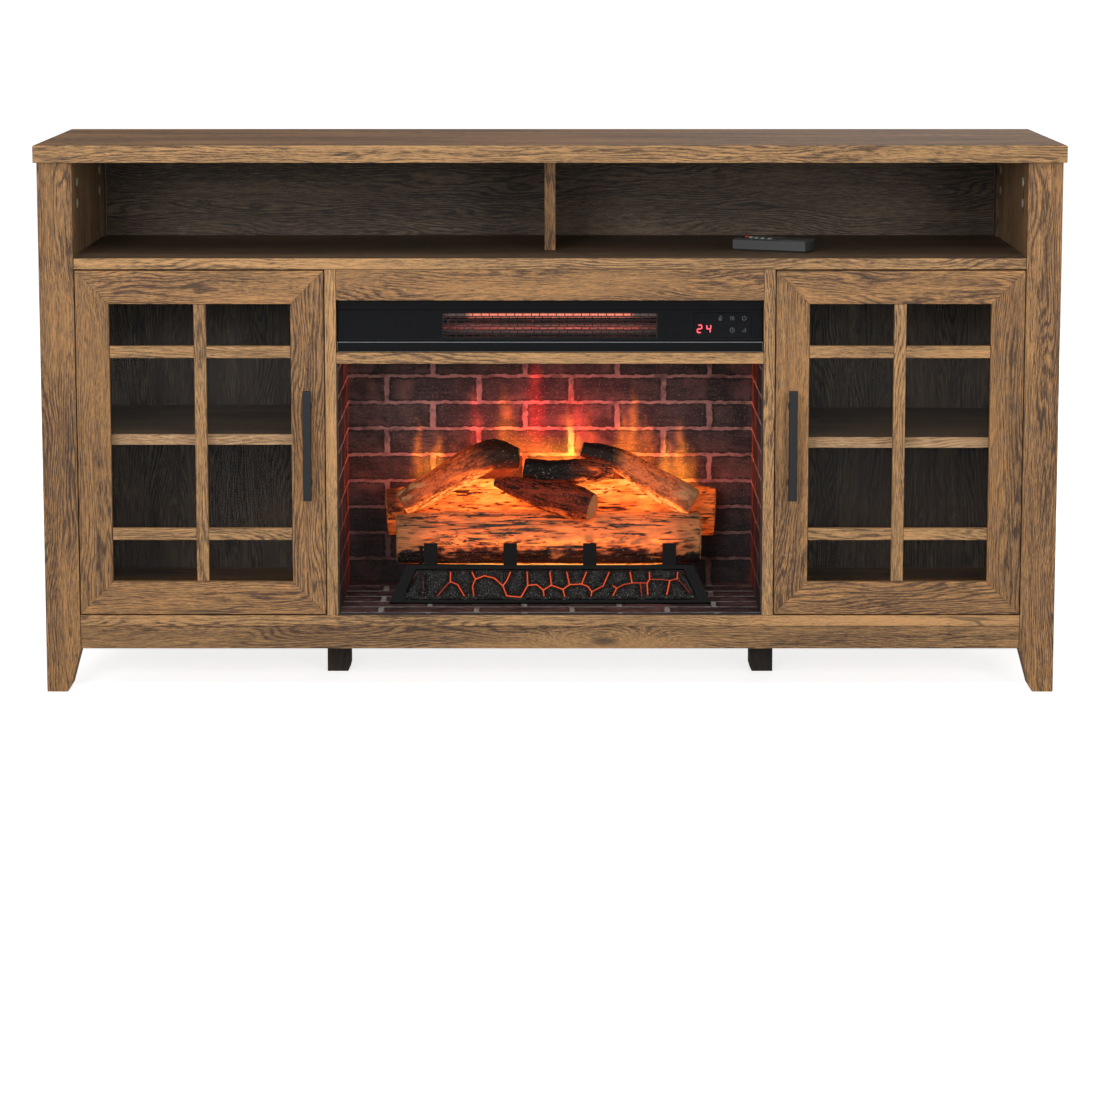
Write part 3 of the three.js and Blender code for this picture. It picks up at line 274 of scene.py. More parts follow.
def oak_figure():
    """The node group of the printed oak: colour and relief for a place in millimetres."""
    group = bpy.data.node_groups.new("oak_figure", "ShaderNodeTree")
    for name, way, kind in (
            ("Place", "INPUT", "Vector"), ("Dark", "INPUT", "Color"), ("Middle", "INPUT", "Color"),
            ("Light", "INPUT", "Color"), ("Color", "OUTPUT", "Color"), ("Relief", "OUTPUT", "Float")):
        group.interface.new_socket(name, in_out=way, socket_type=f"NodeSocket{kind}")
    given = group.nodes.new("NodeGroupInput")
    place = given.outputs["Place"]

    # the fibres sway, and in some cells of a wide net they bend round a knot
    sway = streaked(group, place, 380, 75, 1.0, 0.55)
    sway = add_node(group, "Math", [sway, 34.0, -17.0], operation="MULTIPLY_ADD")
    spread = add_node(group, "VectorMath", [place, (1 / 390, 1 / 105, 1 / 105)], operation="MULTIPLY")
    knots = add_node(group, "TexVoronoi", {"Vector": spread, "Scale": 1.0})
    chance = add_node(group, "SeparateColor", [knots.outputs["Color"]])
    has_knot = add_node(group, "MapRange", [chance, 0.62, 0.63], **SMOOTH)
    ring, core = (add_node(group, "Math", [
        add_node(group, "MapRange", [knots, low, high, 1.0, 0.0], **SMOOTH), has_knot], operation="MULTIPLY")
        for low, high in ((0.0, 0.34), (0.02, 0.075)))
    shift = add_node(group, "Math", [ring, 20.0, sway], operation="MULTIPLY_ADD")
    shifts = add_node(group, "CombineXYZ", {"Y": shift, "Z": shift})
    bent = add_node(group, "VectorMath", [place, shifts], operation="ADD")

    # growth rings show as lines 5 mm apart, which swell into arcs where the log was cut askew
    axes = add_node(group, "SeparateXYZ", [bent])
    across = add_node(group, "Math", [axes.outputs["Y"], axes.outputs["Z"]], operation="ADD")
    for way, long, wide, detail, reach in ((place, 230, 46, 1.0, 70.0), (bent, 60, 7, 2.0, 8.0)):
        swell = streaked(group, way, long, wide, detail, 0.55)
        across = add_node(group, "Math", [swell, reach, across], operation="MULTIPLY_ADD")
    rings = add_node(group, "Math", [across, 2.5], operation="PINGPONG")
    rings = add_node(group, "MapRange", [rings, 0.1, 1.7], **SMOOTH)
    plain = add_node(group, "MapRange", [streaked(group, place, 300, 70, 1.0, 0.55), 0.42, 0.62], **SMOOTH)
    rings = add_node(group, "Math", [rings, plain], operation="MAXIMUM")

    # the tone adds up wide bands, fibres, short threads, rings and slow changes along the board
    fibres = streaked(group, bent, 22, 0.95, 2.0, 0.6)
    tone = 0.0
    for part, share in ((fibres, 0.7), (streaked(group, bent, 300, 9.0, 3.0, 0.6), 0.3),
                        (streaked(group, bent, 6, 0.7, 1.0, 0.55), 0.25), (rings, 0.16),
                        (streaked(group, place, 420, 60, 1.0, 0.55), 0.25)):
        tone = add_node(group, "Math", [part, share, tone], operation="MULTIPLY_ADD")
    colour = given.outputs["Dark"]
    for low, high, paler in ((0.72, 0.9, "Middle"), (0.88, 1.04, "Light")):
        amount = add_node(group, "MapRange", [tone, low, high], **SMOOTH)
        colour = add_node(group, "Mix", {0: amount, 6: colour, 7: given.outputs[paler]}, data_type="RGBA")

    # dark ink marks the drying cracks, the knots and the pores
    ridge = add_node(group, "Math", [streaked(group, bent, 520, 30, 2.0, 0.55), 0.5], operation="SUBTRACT")
    ridge = add_node(group, "Math", [ridge], operation="ABSOLUTE")
    ridge = add_node(group, "MapRange", [ridge, 0.001, 0.011, 1.0, 0.0], **SMOOTH)
    pores = add_node(group, "MapRange", [streaked(group, bent, 9, 1.2, 1.0, 0.55), 0.62, 0.7], **SMOOTH)
    ink = add_node(group, "Math", [core, 0.75], operation="MULTIPLY")
    for mark, long, wide, low, high, strength in ((ridge, 260, 42, 0.56, 0.66, 0.85),
                                                  (pores, 90, 26, 0.4, 0.6, 0.65)):
        shown = streaked(group, place, long, wide, 1.0, 0.55)
        shown = add_node(group, "MapRange", [shown, low, high], **SMOOTH)
        shown = add_node(group, "Math", [shown, mark], operation="MULTIPLY")
        shown = add_node(group, "Math", [shown, strength], operation="MULTIPLY")
        ink = add_node(group, "Math", [ink, shown], operation="MAXIMUM")
    colour = add_node(group, "Mix", {0: ink, 6: colour, 7: srgb("29211B")}, data_type="RGBA")
    relief = add_node(group, "Math", [fibres, 0.6], operation="MULTIPLY")
    relief = add_node(group, "Math", [relief, ink], operation="SUBTRACT")

    result = group.nodes.new("NodeGroupOutput")
    group.links.new(colour.outputs[2], result.inputs["Color"])
    group.links.new(relief.outputs[0], result.inputs["Relief"])
    return group


OAK = oak_figure()
# dark fibre, ground and light fibre of each printed paper; some are lighter copies that paint light, and some
# darker copies that paint shade, as noted
PAPERS = {
    "face": ("463020", "82603D", "AA7B4A"),
    # darker, painted shade on the low rail and on the front legs' inner sides
    "rail": ("3E2A1B", "745738", "9C744A"),
    "edge": ("503926", "927049", "B68858"),
    # paler, painted light on the cabinet shelves' front edges behind the glass
    "bright": ("8A6A48", "C39A70", "DDB588"),
    # darker, painted shade on the slab's top face
    "top": ("3C2818", "6C4B2E", "94704A"),
    "side": ("4C3A29", "87694C", "A5845F"),
    # darker, painted shade on faces inside the carcass and under the slab
    "inside": ("33271C", "5C4730", "7A6044"),
    # darker, painted shade on the open shelf's top face
    "shelf": ("2E241A", "544231", "69543F"),
    "back": ("1C1610", "493A2D", "665543"),
    # nearly black, painted shade on the feet under the stand
    "foot": ("15110D", "2A2119", "382C21"),
}
# turns the pattern's X, which runs along the grain, to each axis of the frame
GRAIN_TURNS = {"x": (0, 0, 0), "y": (0, 0, math.pi / 2), "z": (0, math.pi / 2, 0)}
oak_seed = 0
print("papers", len(PAPERS))


def oak(name, grain, paper, depth):
    """Oak-print board: melamine paper over particle board, with a satin, slightly fibrous face.

    The depth is a factor on the print's colours, which paints the light and shade that fall on the board."""
    global oak_seed
    oak_seed += 1
    matte = paper == "top"
    made, tree, shader = new_finish(f"oak_{name}", Roughness=0.8 if matte else 0.6, **{
        "Specular IOR Level": 0.12 if matte else 0.28})
    turned = add_node(tree, "Mapping", {
        "Vector": place_in_mm(tree), "Rotation": GRAIN_TURNS[grain],
        "Location": (oak_seed * 1371.0, oak_seed * 417.0, oak_seed * 233.0)})
    inks = {tone: [*(depth * share for share in srgb(code)[:3]), 1.0]
            for tone, code in zip(("Dark", "Middle", "Light"), PAPERS[paper])}
    figure = add_node(tree, "Group", {"Place": turned, **inks}, node_tree=OAK)
    bump = add_node(tree, "Bump", {"Height": figure.outputs["Relief"], "Distance": 0.15 * MM,
                                   "Strength": 0.6})
    join_up(tree, shader, Base_Color=figure, Normal=bump)
    return made


# %% [markdown]
# Most of the small parts are metal or plastic with a very fine surface of their own. One
# function makes such a finish from two close colours, the size of its grain and the depth
# of its relief. The grain sets colour, gloss and relief together, because on a real
# powder coat or moulding the three come from the same texture.

# %% Simple finishes
def grained(name, first, second, grain, relief, roughness, **sockets):
    """A finish with a fine grain: two colours, a grain size and a relief in millimetres."""
    made, tree, shader = new_finish(name, **sockets)
    sized = add_node(tree, "VectorMath", {0: place_in_mm(tree), "Scale": 1 / grain}, operation="SCALE")
    noise = add_node(tree, "TexNoise", {"Vector": sized, "Scale": 1.0, "Detail": 3.0})
    colour = add_node(tree, "Mix", {0: noise, 6: srgb(first), 7: srgb(second)}, data_type="RGBA")
    gloss = add_node(tree, "MapRange", {
        "Value": noise, "To Min": roughness - 0.06, "To Max": roughness + 0.06})
    bump = add_node(tree, "Bump", {"Height": noise, "Distance": relief * MM})
    join_up(tree, shader, Base_Color=colour, Roughness=gloss, Normal=bump)
    return made


POWDER_COAT = grained("black_powder_coat", "141517", "1B1C1E", 0.5, 0.03, 0.5, **{"Specular IOR Level": 0.22})
ZINC = grained("zinc_plated_steel", "A9A9A4", "8D8E8C", 1.5, 0.01, 0.34, Metallic=1.0)
NICKEL = grained("nickel_plated_steel", "C4C1BA", "A8A6A0", 1.2, 0.01, 0.26, Metallic=1.0)
BLACK_SHEET = grained("black_sheet_steel", "17181A", "202123", 1.0, 0.03, 0.55, **{
    "Specular IOR Level": 0.25})
CAST_BLACK = grained("black_grate_steel", "060606", "0D0C0C", 1.4, 0.12, 0.6, **{"Specular IOR Level": 0.1})
GLOSS_ABS = grained("gloss_black_abs", "0A0B0D", "0D0E10", 6.0, 0.01, 0.2, **{"Specular IOR Level": 0.1})
HARDBOARD = grained("brown_hardboard", "5A3E2B", "9A7350", 7.0, 0.12, 0.8)
print("finishes", len(bpy.data.materials))

# %% [markdown]
# The carcass boards are the CAD nodes themselves. Each gets an oak print that runs along
# its length, and a second one on the ends, where a real board has a glued edge band with
# the grain along the band. The nodes are made of loose triangles, so three live modifiers
# weld them, melt the triangles of each flat face together, and round the edges a little.

# %% Carcass boards
def side_of(normal):
    """The axis and sign that a face looks along, such as -y for the front."""
    axis = max(range(3), key=lambda place: abs(normal[place]))
    return ("-" if normal[axis] < 0 else "+") + "xyz"[axis]


def soften_node(node, width=0.7 * MM, edge_slot=-1):
    """Welds a CAD node, melts its flat faces together and eases its edges, without changing its mesh."""
    weld = node.modifiers.new("weld", "WELD")
    weld.merge_threshold = 0.01 * MM
    melt = node.modifiers.new("melt", "DECIMATE")
    melt.decimate_type = "DISSOLVE"
    melt.angle_limit = math.radians(1)
    melt.delimit = {"MATERIAL"}
    ease = node.modifiers.new("ease", "BEVEL")
    ease.width = width
    ease.segments = 2
    ease.limit_method = "ANGLE"
    ease.angle_limit = math.radians(30)
    ease.harden_normals = True
    ease.material = edge_slot


def board(name, grain, papers, depth):
    """Dresses one CAD board: a print along its grain, and on each side named in papers that paper."""
    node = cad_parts[name]
    low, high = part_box(name)
    size = high - low
    papers = {"": "face", f"-{grain}": "edge", f"+{grain}": "edge", **papers}
    slots = {}
    node.data.materials.clear()
    for side, paper in papers.items():
        along = grain
        if side[1:] == grain:
            along = max((axis for axis in "xyz" if axis != grain), key=lambda axis: size["xyz".index(axis)])
        if (paper, along) not in slots:
            slots[(paper, along)] = len(node.data.materials)
            node.data.materials.append(
                HARDBOARD if paper == "hardboard" else oak(f"{name}_{paper}_{along}", along, paper, depth))
        papers[side] = slots[(paper, along)]
    for polygon in node.data.polygons:
        polygon.material_index = papers.get(side_of(polygon.normal), 0)
    soften_node(node)


# name, grain, the sides that differ from the plain face, and the depth of the print, a factor on its colours
# that paints the light and shade the board stands in
BOARDS = [
    ("top_panel", "x", {"-y": "edge", "+z": "top", "-z": "inside"}, 0.9),
    ("media_shelf", "x", {"-y": "edge", "+z": "shelf"}, 1.0),
    ("bottom_panel", "x", {"-y": "edge"}, 0.95),
    ("bottom_front_rail", "x", {"": "rail"}, 0.95),
    ("header_rail", "x", {}, 0.93),
    ("heater_shelf", "x", {"-y": "edge"}, 1.0),
    ("left_cabinet_shelf", "x", {"-y": "bright", "+z": "inside"}, 1.0),
    ("right_cabinet_shelf", "x", {"-y": "bright", "+z": "inside"}, 1.0),
    ("front_left_leg", "z", {"+x": "rail"}, 0.86),
    ("front_right_leg", "z", {"-x": "rail"}, 1.04),
    ("back_left_leg", "z", {"-y": "inside", "+x": "inside"}, 0.86),
    ("back_right_leg", "z", {"-y": "inside", "-x": "inside"}, 0.9),
    ("left_side_panel", "z", {"+x": "side"}, 1.0),
    ("right_side_panel", "z", {"-x": "side"}, 1.0),
    ("left_upright", "z", {"-y": "edge", "-x": "inside"}, 1.0),
    ("right_upright", "z", {"-y": "edge", "+x": "inside"}, 1.0),
    ("media_divider", "z", {}, 0.85),
    ("left_centre_foot", "z", {"": "foot"}, 1.0), ("right_centre_foot", "z", {"": "foot"}, 1.0),
    ("upper_back_panel", "x", {"": "back", "+y": "hardboard"}, 1.0),
    ("lower_back_panel", "z", {"": "back", "+y": "hardboard"}, 1.0),
]
for name, grain, papers, depth in BOARDS:
    board(name, grain, papers, depth)
print("boards", len(BOARDS), "materials", len(bpy.data.materials))

# %% [markdown]
# A door frame is four lengths of wrapped board, mitred at the corners, with a rebate
# behind for the glass. A length is modelled lying along X: a block for its front part,
# cut once across its back so that the outer strip can be pulled back past the rebate, and
# cut off at 45 degrees at both ends. A rail, a latch stile and a hinge stile, which has
# two bores for the hinge cups, are made once each. Every side of a door is a copy of one
# of them, turned to its place, with its own mesh and its own print.

# %% Door frames
SIDES = ("left", "right")
FRAME_WIDTH = 48 * MM
REBATE = 6 * MM
EDGE_RADIUS = 0.5 * MM
BORE_RADIUS = 17.3 * MM        # 0.3 mm round the hinge cup
BORE_MIDDLE = 14.8 * MM        # how far the cutter's middle lies behind the cup's bottom
BORE_LENGTH = 30 * MM
GLASS_PLAY = 0.3 * MM

door_low, door_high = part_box("left_door_frame")
door_width, door_height = door_high.x - door_low.x, door_high.z - door_low.z
glass_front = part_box("left_door_glass")[0].y - GLASS_PLAY


def cut_plane(piece, point, normal, clear=False):
    """Cuts a whole piece along a plane, and if asked takes away what the normal points at."""
    pick(piece)
    bpy.ops.object.mode_set(mode="EDIT")
    bpy.ops.mesh.select_all(action="SELECT")
    bpy.ops.mesh.bisect(plane_co=point, plane_no=normal, clear_outer=clear, use_fill=clear)
    bpy.ops.object.mode_set(mode="OBJECT")


def copy_to(pattern, name, place, turn=(0, 0, 0)):
    """A copy of a repeated piece, with its own mesh, turned in degrees and then put in place."""
    made = pattern.copy()
    made.data = pattern.data.copy()
    made.name = made.data.name = name
    bpy.context.scene.collection.objects.link(made)
    made.rotation_euler = [math.radians(angle) for angle in turn]
    made.location = place
    settle(made)
    return made


def drop(*patterns):
    """Takes the patterns away once their copies are made."""
    for pattern in patterns:
        bpy.data.objects.remove(pattern)


def cut_away(piece, cutter):
    """Takes one shape out of a piece, and drops the shape."""
    finish_with(piece, "BOOLEAN", object=cutter, operation="DIFFERENCE")
    drop(cutter)


def frame_length(name, length):
    """A mitred length of door frame along X, with its outer edge on z 0 and its rebate behind."""
    half = length / 2
    made = start_box(name, (-half, door_low.y, 0), (half, glass_front, FRAME_WIDTH))
    lip = FRAME_WIDTH - REBATE
    cut_plane(made, (0, 0, lip), (0, 0, 1))
    select_faces(made, lambda face: face.normal.y > 0.9 and face.center.z < lip)
    bpy.ops.mesh.extrude_region_move(TRANSFORM_OT_translate={"value": (0, door_high.y - glass_front, 0)})
    bpy.ops.object.mode_set(mode="OBJECT")
    for end in (-1, 1):
        cut_plane(made, (end * half, 0, 0), (end, 0, 1), clear=True)
    return made


def hinge_length(name, length):
    """A length of frame with the two bores for its hinge cups."""
    made = frame_length(name, length)
    cup_low, cup_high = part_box("left_door_upper_hinge_cup")
    middle = (cup_low + cup_high) / 2
    along = middle.z - (door_low.z + door_high.z) / 2
    for across in (-along, along):
        bpy.ops.object.select_all(action="DESELECT")
        bpy.ops.mesh.primitive_cylinder_add(
            vertices=48, radius=BORE_RADIUS, depth=BORE_LENGTH, rotation=(math.pi / 2, 0, 0),
            location=(across, cup_low.y + BORE_MIDDLE, middle.x - door_low.x))
        cutter = bpy.context.object
        settle(cutter)
        cut_away(made, cutter)
    return made


rail = frame_length("rail_pattern", door_width)
latch_stile = frame_length("latch_stile_pattern", door_height)
hinge_stile = hinge_length("hinge_stile_pattern", door_height)
for pattern in (rail, latch_stile, hinge_stile):
    ease_edges(pattern, EDGE_RADIUS)

# part, pattern, turn about Y on the left door, half of the door across it, grain, and print depth, a factor
# on the print's colours that paints the light and shade on the part
DOOR_PARTS = [
    ("bottom_rail", rail, 0, door_height / 2, "x", 1.02),
    ("top_rail", rail, 180, door_height / 2, "x", 0.99),
    ("hinge_stile", hinge_stile, 90, door_width / 2, "z", 0.78),
    ("latch_stile", latch_stile, -90, door_width / 2, "z", 0.92),
]
for side in SIDES:
    low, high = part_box(f"{side}_door_frame")
    for part, pattern, turn, reach, grain, depth in DOOR_PARTS:
        turn = turn if side == "left" or grain == "x" else -turn
        outwards = Matrix.Rotation(math.radians(turn), 3, "Y") @ Vector((0, 0, reach))
        centre = Vector(((low.x + high.x) / 2, 0, (low.z + high.z) / 2))
        made = copy_to(pattern, f"{side}_door_{part}", centre - outwards, (0, turn, 0))
        dress(made, oak(made.name, grain, "face", depth), f"{side}_door")
        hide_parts(f"{side}_door_frame")
drop(rail, latch_stile, hinge_stile)
print("door frames", len(DOOR_PARTS) * len(SIDES), "lengths")

# %% [markdown]
# The lattice stands just in front of the glass: one upright from rail to rail, and four
# short cross bars let in beside it. On the real door they are thin strips wrapped in the
# same print, with the grain along each. A strip starts as a block, and its front face is
# inset and lifted, which gives it the small chamfer of a wrapped strip.

# %% Door lattices
STRIP_WIDTH = 17.5 * MM
SMALL_LIGHT = 61 * MM          # height of the small lights above and below the tall ones
CHAMFER = 0.8 * MM
BAR_SETBACK = 0.1 * MM

lattice_low, lattice_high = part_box("left_door_muntins")
strip_depth = lattice_high.y - lattice_low.y
lattice_width, lattice_height = lattice_high.x - lattice_low.x, lattice_high.z - lattice_low.z


def lattice_strip(name, length):
    """A strip along X with its middle in the origin and its front on y 0."""
    made = start_box(name, (-length / 2, CHAMFER, -STRIP_WIDTH / 2),
                     (length / 2, strip_depth, STRIP_WIDTH / 2))
    select_faces(made, lambda face: face.normal.y < -0.9)
    bpy.ops.mesh.inset(thickness=CHAMFER, depth=CHAMFER)
    bpy.ops.object.mode_set(mode="OBJECT")
    ease_edges(made, 0.25 * MM)
    return made


upright = lattice_strip("upright_pattern", lattice_height)
bar = lattice_strip("bar_pattern", (lattice_width - STRIP_WIDTH) / 2)
for side in SIDES:
    low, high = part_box(f"{side}_door_muntins")
    middle = (low + high) / 2
    strips = [("upright", upright, (middle.x, low.y, middle.z), 90, "z", 0.95)]
    for row, height in (("lower", low.z + SMALL_LIGHT), ("upper", high.z - SMALL_LIGHT - STRIP_WIDTH)):
        for half, across in (("left", (low.x + middle.x - STRIP_WIDTH / 2) / 2),
                             ("right", (high.x + middle.x + STRIP_WIDTH / 2) / 2)):
            place = (across, low.y + BAR_SETBACK, height + STRIP_WIDTH / 2)
            strips.append((f"{row}_{half}_bar", bar, place, 0, "x", 0.92))
    for part, pattern, place, turn, grain, depth in strips:
        made = copy_to(pattern, f"{side}_door_lattice_{part}", place, (0, turn, 0))
        dress(made, oak(made.name, grain, "edge", depth), f"{side}_door")
        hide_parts(f"{side}_door_muntins")
drop(upright, bar)
print("lattices", len(strips) * len(SIDES), "strips")

# %% [markdown]
# Door glass is clear float glass, 3 mm thick. What shows in it is a dark cabinet with a
# faint even reflection of the room. So nine tenths of the light passes straight through,
# and the rest of the pane is black, with a gloss that varies as on glass wiped by hand.

# %% Door glass
def dress_node(name, material, width=0):
    """Gives a CAD node one material, and eased edges of a width."""
    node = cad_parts[name]
    node.data.materials.clear()
    node.data.materials.append(material)
    for polygon in node.data.polygons:
        polygon.material_index = 0
    if width:
        soften_node(node, width)
    return node


for side in SIDES:
    glass, tree, shader = new_finish(f"{side}_float_glass", IOR=1.52, Alpha=0.1, **{
        "Base Color": srgb("0A0C0C"), "Specular IOR Level": 0.48})
    haze = add_node(tree, "TexNoise", {"Vector": place_in_mm(tree), "Scale": 0.02, "Detail": 1.0})
    gloss = add_node(tree, "MapRange", {"Value": haze, "To Min": 0.02, "To Max": 0.07})
    join_up(tree, shader, Roughness=gloss)
    dress_node(f"{side}_door_glass", glass)
print("panes", len(SIDES))

# %% [markdown]
# Each handle is a flat steel bar on two short posts, powder coated black. The bar starts
# as a block that is cut across where the posts stand, and the posts are pulled out of its
# back. Both doors get a copy of the same handle.

# %% Handles
POST_REACH = 56 * MM           # from the middle of the bar to the middle of a post
POST_HALF = 4.5 * MM
BAR_DEPTH = 9 * MM


def door_handle(low, high):
    """A bar handle of the size of a box, with its middle in x 0 and z 0."""
    half = (high - low) / 2
    bar_back = low.y + BAR_DEPTH
    made = start_box("handle_pattern", (-half.x, low.y, -half.z), (half.x, bar_back, half.z))
    for post in (-POST_REACH, POST_REACH):
        for edge in (-POST_HALF, POST_HALF):
            cut_plane(made, (0, 0, post + edge), (0, 0, 1))
    select_faces(made, lambda face: face.normal.y > 0.9 and abs(abs(face.center.z) - POST_REACH) < 1 * MM)
    bpy.ops.mesh.extrude_region_move(TRANSFORM_OT_translate={"value": (0, high.y - bar_back, 0)})
    bpy.ops.object.mode_set(mode="OBJECT")
    ease_edges(made, 1.2 * MM, 3)
    return made


handle = door_handle(*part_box("left_door_handle"))
for side in SIDES:
    low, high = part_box(f"{side}_door_handle")
    made = copy_to(handle, f"{side}_handle", ((low.x + high.x) / 2, 0, (low.z + high.z) / 2))
    dress(made, POWDER_COAT, f"{side}_door")
    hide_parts(f"{side}_door_handle")
drop(handle)
print("handles", len(SIDES))

# %% [markdown]
# The hinges keep their CAD shapes, in nickel plate. Each cup's flange and each arm's plate
# is held by two countersunk screws. One screw is modelled: a short cylinder whose rim is
# bevelled, with a cross cut into it. The open shelf's side panels show the pale plastic
# caps of the cam fasteners, which are a dished disc copied eight times. The same screw
# holds the back sheets.

# %% Hinges, screws and caps
HEAD_RADIUS = 3.5 * MM
CAP_RADIUS = 6.5 * MM


def disc(name, radius, depth, corners=32):
    """A round start, facing up, with its lower face on z 0."""
    bpy.ops.object.select_all(action="DESELECT")
    bpy.ops.mesh.primitive_cylinder_add(vertices=corners, radius=radius, depth=depth,
                                        location=(0, 0, depth / 2))
    made = bpy.context.object
    made.name = made.data.name = name
    settle(made)
    return made


def cross_screw():
    """A countersunk screw head, 7 mm across, with a cross recess."""
    made = disc("screw_pattern", HEAD_RADIUS, 1.2 * MM, 24)
    for turn in (0, 90):
        slot = start_box("slot", (-2.1 * MM, -0.45 * MM, 0.6 * MM), (2.1 * MM, 0.45 * MM, 2 * MM))
        slot.rotation_euler = (0, 0, math.radians(turn))
        settle(slot)
        cut_away(made, slot)
    ease_edges(made, 0.25 * MM)
    return made


def fastener_cap():
    """A plastic cap with a raised rim and a dished middle."""
    made = disc("cap_pattern", CAP_RADIUS, 0.9 * MM)
    select_faces(made, lambda face: face.normal.z > 0.9)
    bpy.ops.mesh.inset(thickness=1.1 * MM, depth=0)
    bpy.ops.mesh.inset(thickness=0.4 * MM, depth=-0.4 * MM)
    bpy.ops.object.mode_set(mode="OBJECT")
    ease_edges(made, 0.2 * MM)
    return made


screw, cap = cross_screw(), fastener_cap()
CAP_PLASTIC = grained("beige_cap_plastic", "A39B8A", "B0A898", 2.0, 0.02, 0.5)
UP_THE_FLANGE = 21 * MM        # from the hinge's middle to its cup's screws
UP_THE_PLATE = 19 * MM         # and to its plate's
FLANGE_FACE = -161 * MM        # the cup flange's inner face
PLATE_FACE = 687.2 * MM        # the plate's inner face, from the stand's middle
PLATE_SCREWS = -123 * MM       # front to back
SCREW_SUNK = 0.6 * MM          # the part of a head that is sunk in its sheet
SIDE_FACE = 690 * MM           # the open shelf's side, from the middle
screws = caps = 0
for side, sign in zip(SIDES, (-1, 1)):
    for level in ("lower", "upper"):
        cup, arm = f"{side}_door_{level}_hinge_cup", f"{side}_{level}_hinge_arm"
        dress_node(cup, NICKEL, 0.3 * MM)
        dress_node(arm, NICKEL, 0.3 * MM)
        cup_low, cup_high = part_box(cup)
        middle = (cup_low + cup_high) / 2
        for step in (-1, 1):
            flange = (middle.x, FLANGE_FACE - SCREW_SUNK, middle.z + step * UP_THE_FLANGE)
            plate = (sign * (PLATE_FACE + SCREW_SUNK), PLATE_SCREWS, middle.z + step * UP_THE_PLATE)
            for place, turn, body in ((flange, (-90, 0, 0), f"{side}_door"),
                                      (plate, (0, -90 * sign, 0), "stand")):
                screws += 1
                dress(copy_to(screw, f"{side}_hinge_screw_{screws}", place, turn), NICKEL, body)
    for depth in (-98 * MM, 148 * MM):
        for height in (710 * MM, 741 * MM):
            caps += 1
            made = copy_to(cap, f"{side}_fastener_cap_{caps}", (sign * SIDE_FACE, depth, height),
                           (0, -90 * sign, 0))
            dress(made, CAP_PLASTIC, "stand")
# the back sheets are screwed to the carcass along their edges, about 300 mm apart
sheet_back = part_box("lower_back_panel")[1].y
BACK_SCREWS = [(across, height) for across in (-540, -270, 0, 270, 540) for height in (106, 621, 766)]
BACK_SCREWS += [(across, height) for across in (-678, 678) for height in (140, 300, 460, 600, 690)]
for number, (across, height) in enumerate(BACK_SCREWS, 1):
    made = copy_to(screw, f"back_screw_{number}", (across * MM, sheet_back - SCREW_SUNK, height * MM),
                   (-90, 0, 0))
    dress(made, NICKEL, "stand")
drop(screw, cap)
print("screws", screws + len(BACK_SCREWS), "caps", caps)

# %% [markdown]
# The heater front is one gloss black moulding round a thin steel grille. The tube behind
# it is a quartz glass tube with a glowing coil, held by ceramic caps. The coil shows as
# fine bright bands, 2.4 mm apart, so the glow is banded along the tube.

# %% Heater
EDGE_FRONT, EDGE_TOP = -168.0, 530.0       # the front lower edges, which get the painted highlight, lie in front of and below these, in mm
COIL_PITCH = 2.4                           # mm
COIL_END, CAP_START = 112.0, 124.0         # the glow fades out between these, from the middle, in mm
TUBE_Y, TUBE_Z = -144.5 * MM, 552.5 * MM   # the quartz tube's axis
TUBE_RADIUS = 6 * MM
HEATER_LAMPS = (-110, -55, 0, 55, 110)     # mm along the tube, from its middle


def warm_lamp(name, place, watts, radius, colour):
    """A small lamp inside the insert, hidden from the camera; its place and radius are in millimetres."""
    data = bpy.data.lights.new(name, "POINT")
    data.energy = watts
    data.color = srgb(colour)[:3]
    data.shadow_soft_size = radius * MM
    made = bpy.data.objects.new(name, data)
    bpy.context.scene.collection.objects.link(made)
    made.location = [value * MM for value in place]
    made.visible_camera = made.visible_glossy = False


# the moulding's rounded edges are polished by the tool; on the lower front edges a light grey colour is a
# painted highlight for the thin lines of light they catch
fascia = dress_node("heater_fascia", GLOSS_ABS)
painted_highlight_edge, tree, shader = new_finish("gloss_black_abs_painted_highlight_edge", Roughness=0.25, **{"Specular IOR Level": 0.1})
axes = add_node(tree, "SeparateXYZ", [place_in_mm(tree)])
forward = add_node(tree, "Math", [axes.outputs["Y"], EDGE_FRONT], operation="LESS_THAN")
beneath = add_node(tree, "Math", [axes.outputs["Z"], EDGE_TOP], operation="LESS_THAN")
bright = add_node(tree, "Math", [forward, beneath], operation="MULTIPLY")
shown = add_node(tree, "Mix", {0: bright, 6: srgb("121315"), 7: srgb("77797C")}, data_type="RGBA")
join_up(tree, shader, Base_Color=shown)
fascia.data.materials.append(painted_highlight_edge)
soften_node(fascia, edge_slot=1)
GRILLE_BLACK = grained("black_grille_steel", "111112", "171718", 0.8, 0.02, 0.45, **{
    "Specular IOR Level": 0.15})
SMOKED = grained("smoked_display", "0A0B0D", "0E0F12", 5.0, 0.01, 0.1, **{"Specular IOR Level": 0.13})
for name, material in (("heater_grille", GRILLE_BLACK), ("heater_case", ZINC), ("blower_wheel", ZINC),
                       ("display_window", SMOKED)):
    dress_node(name, material)

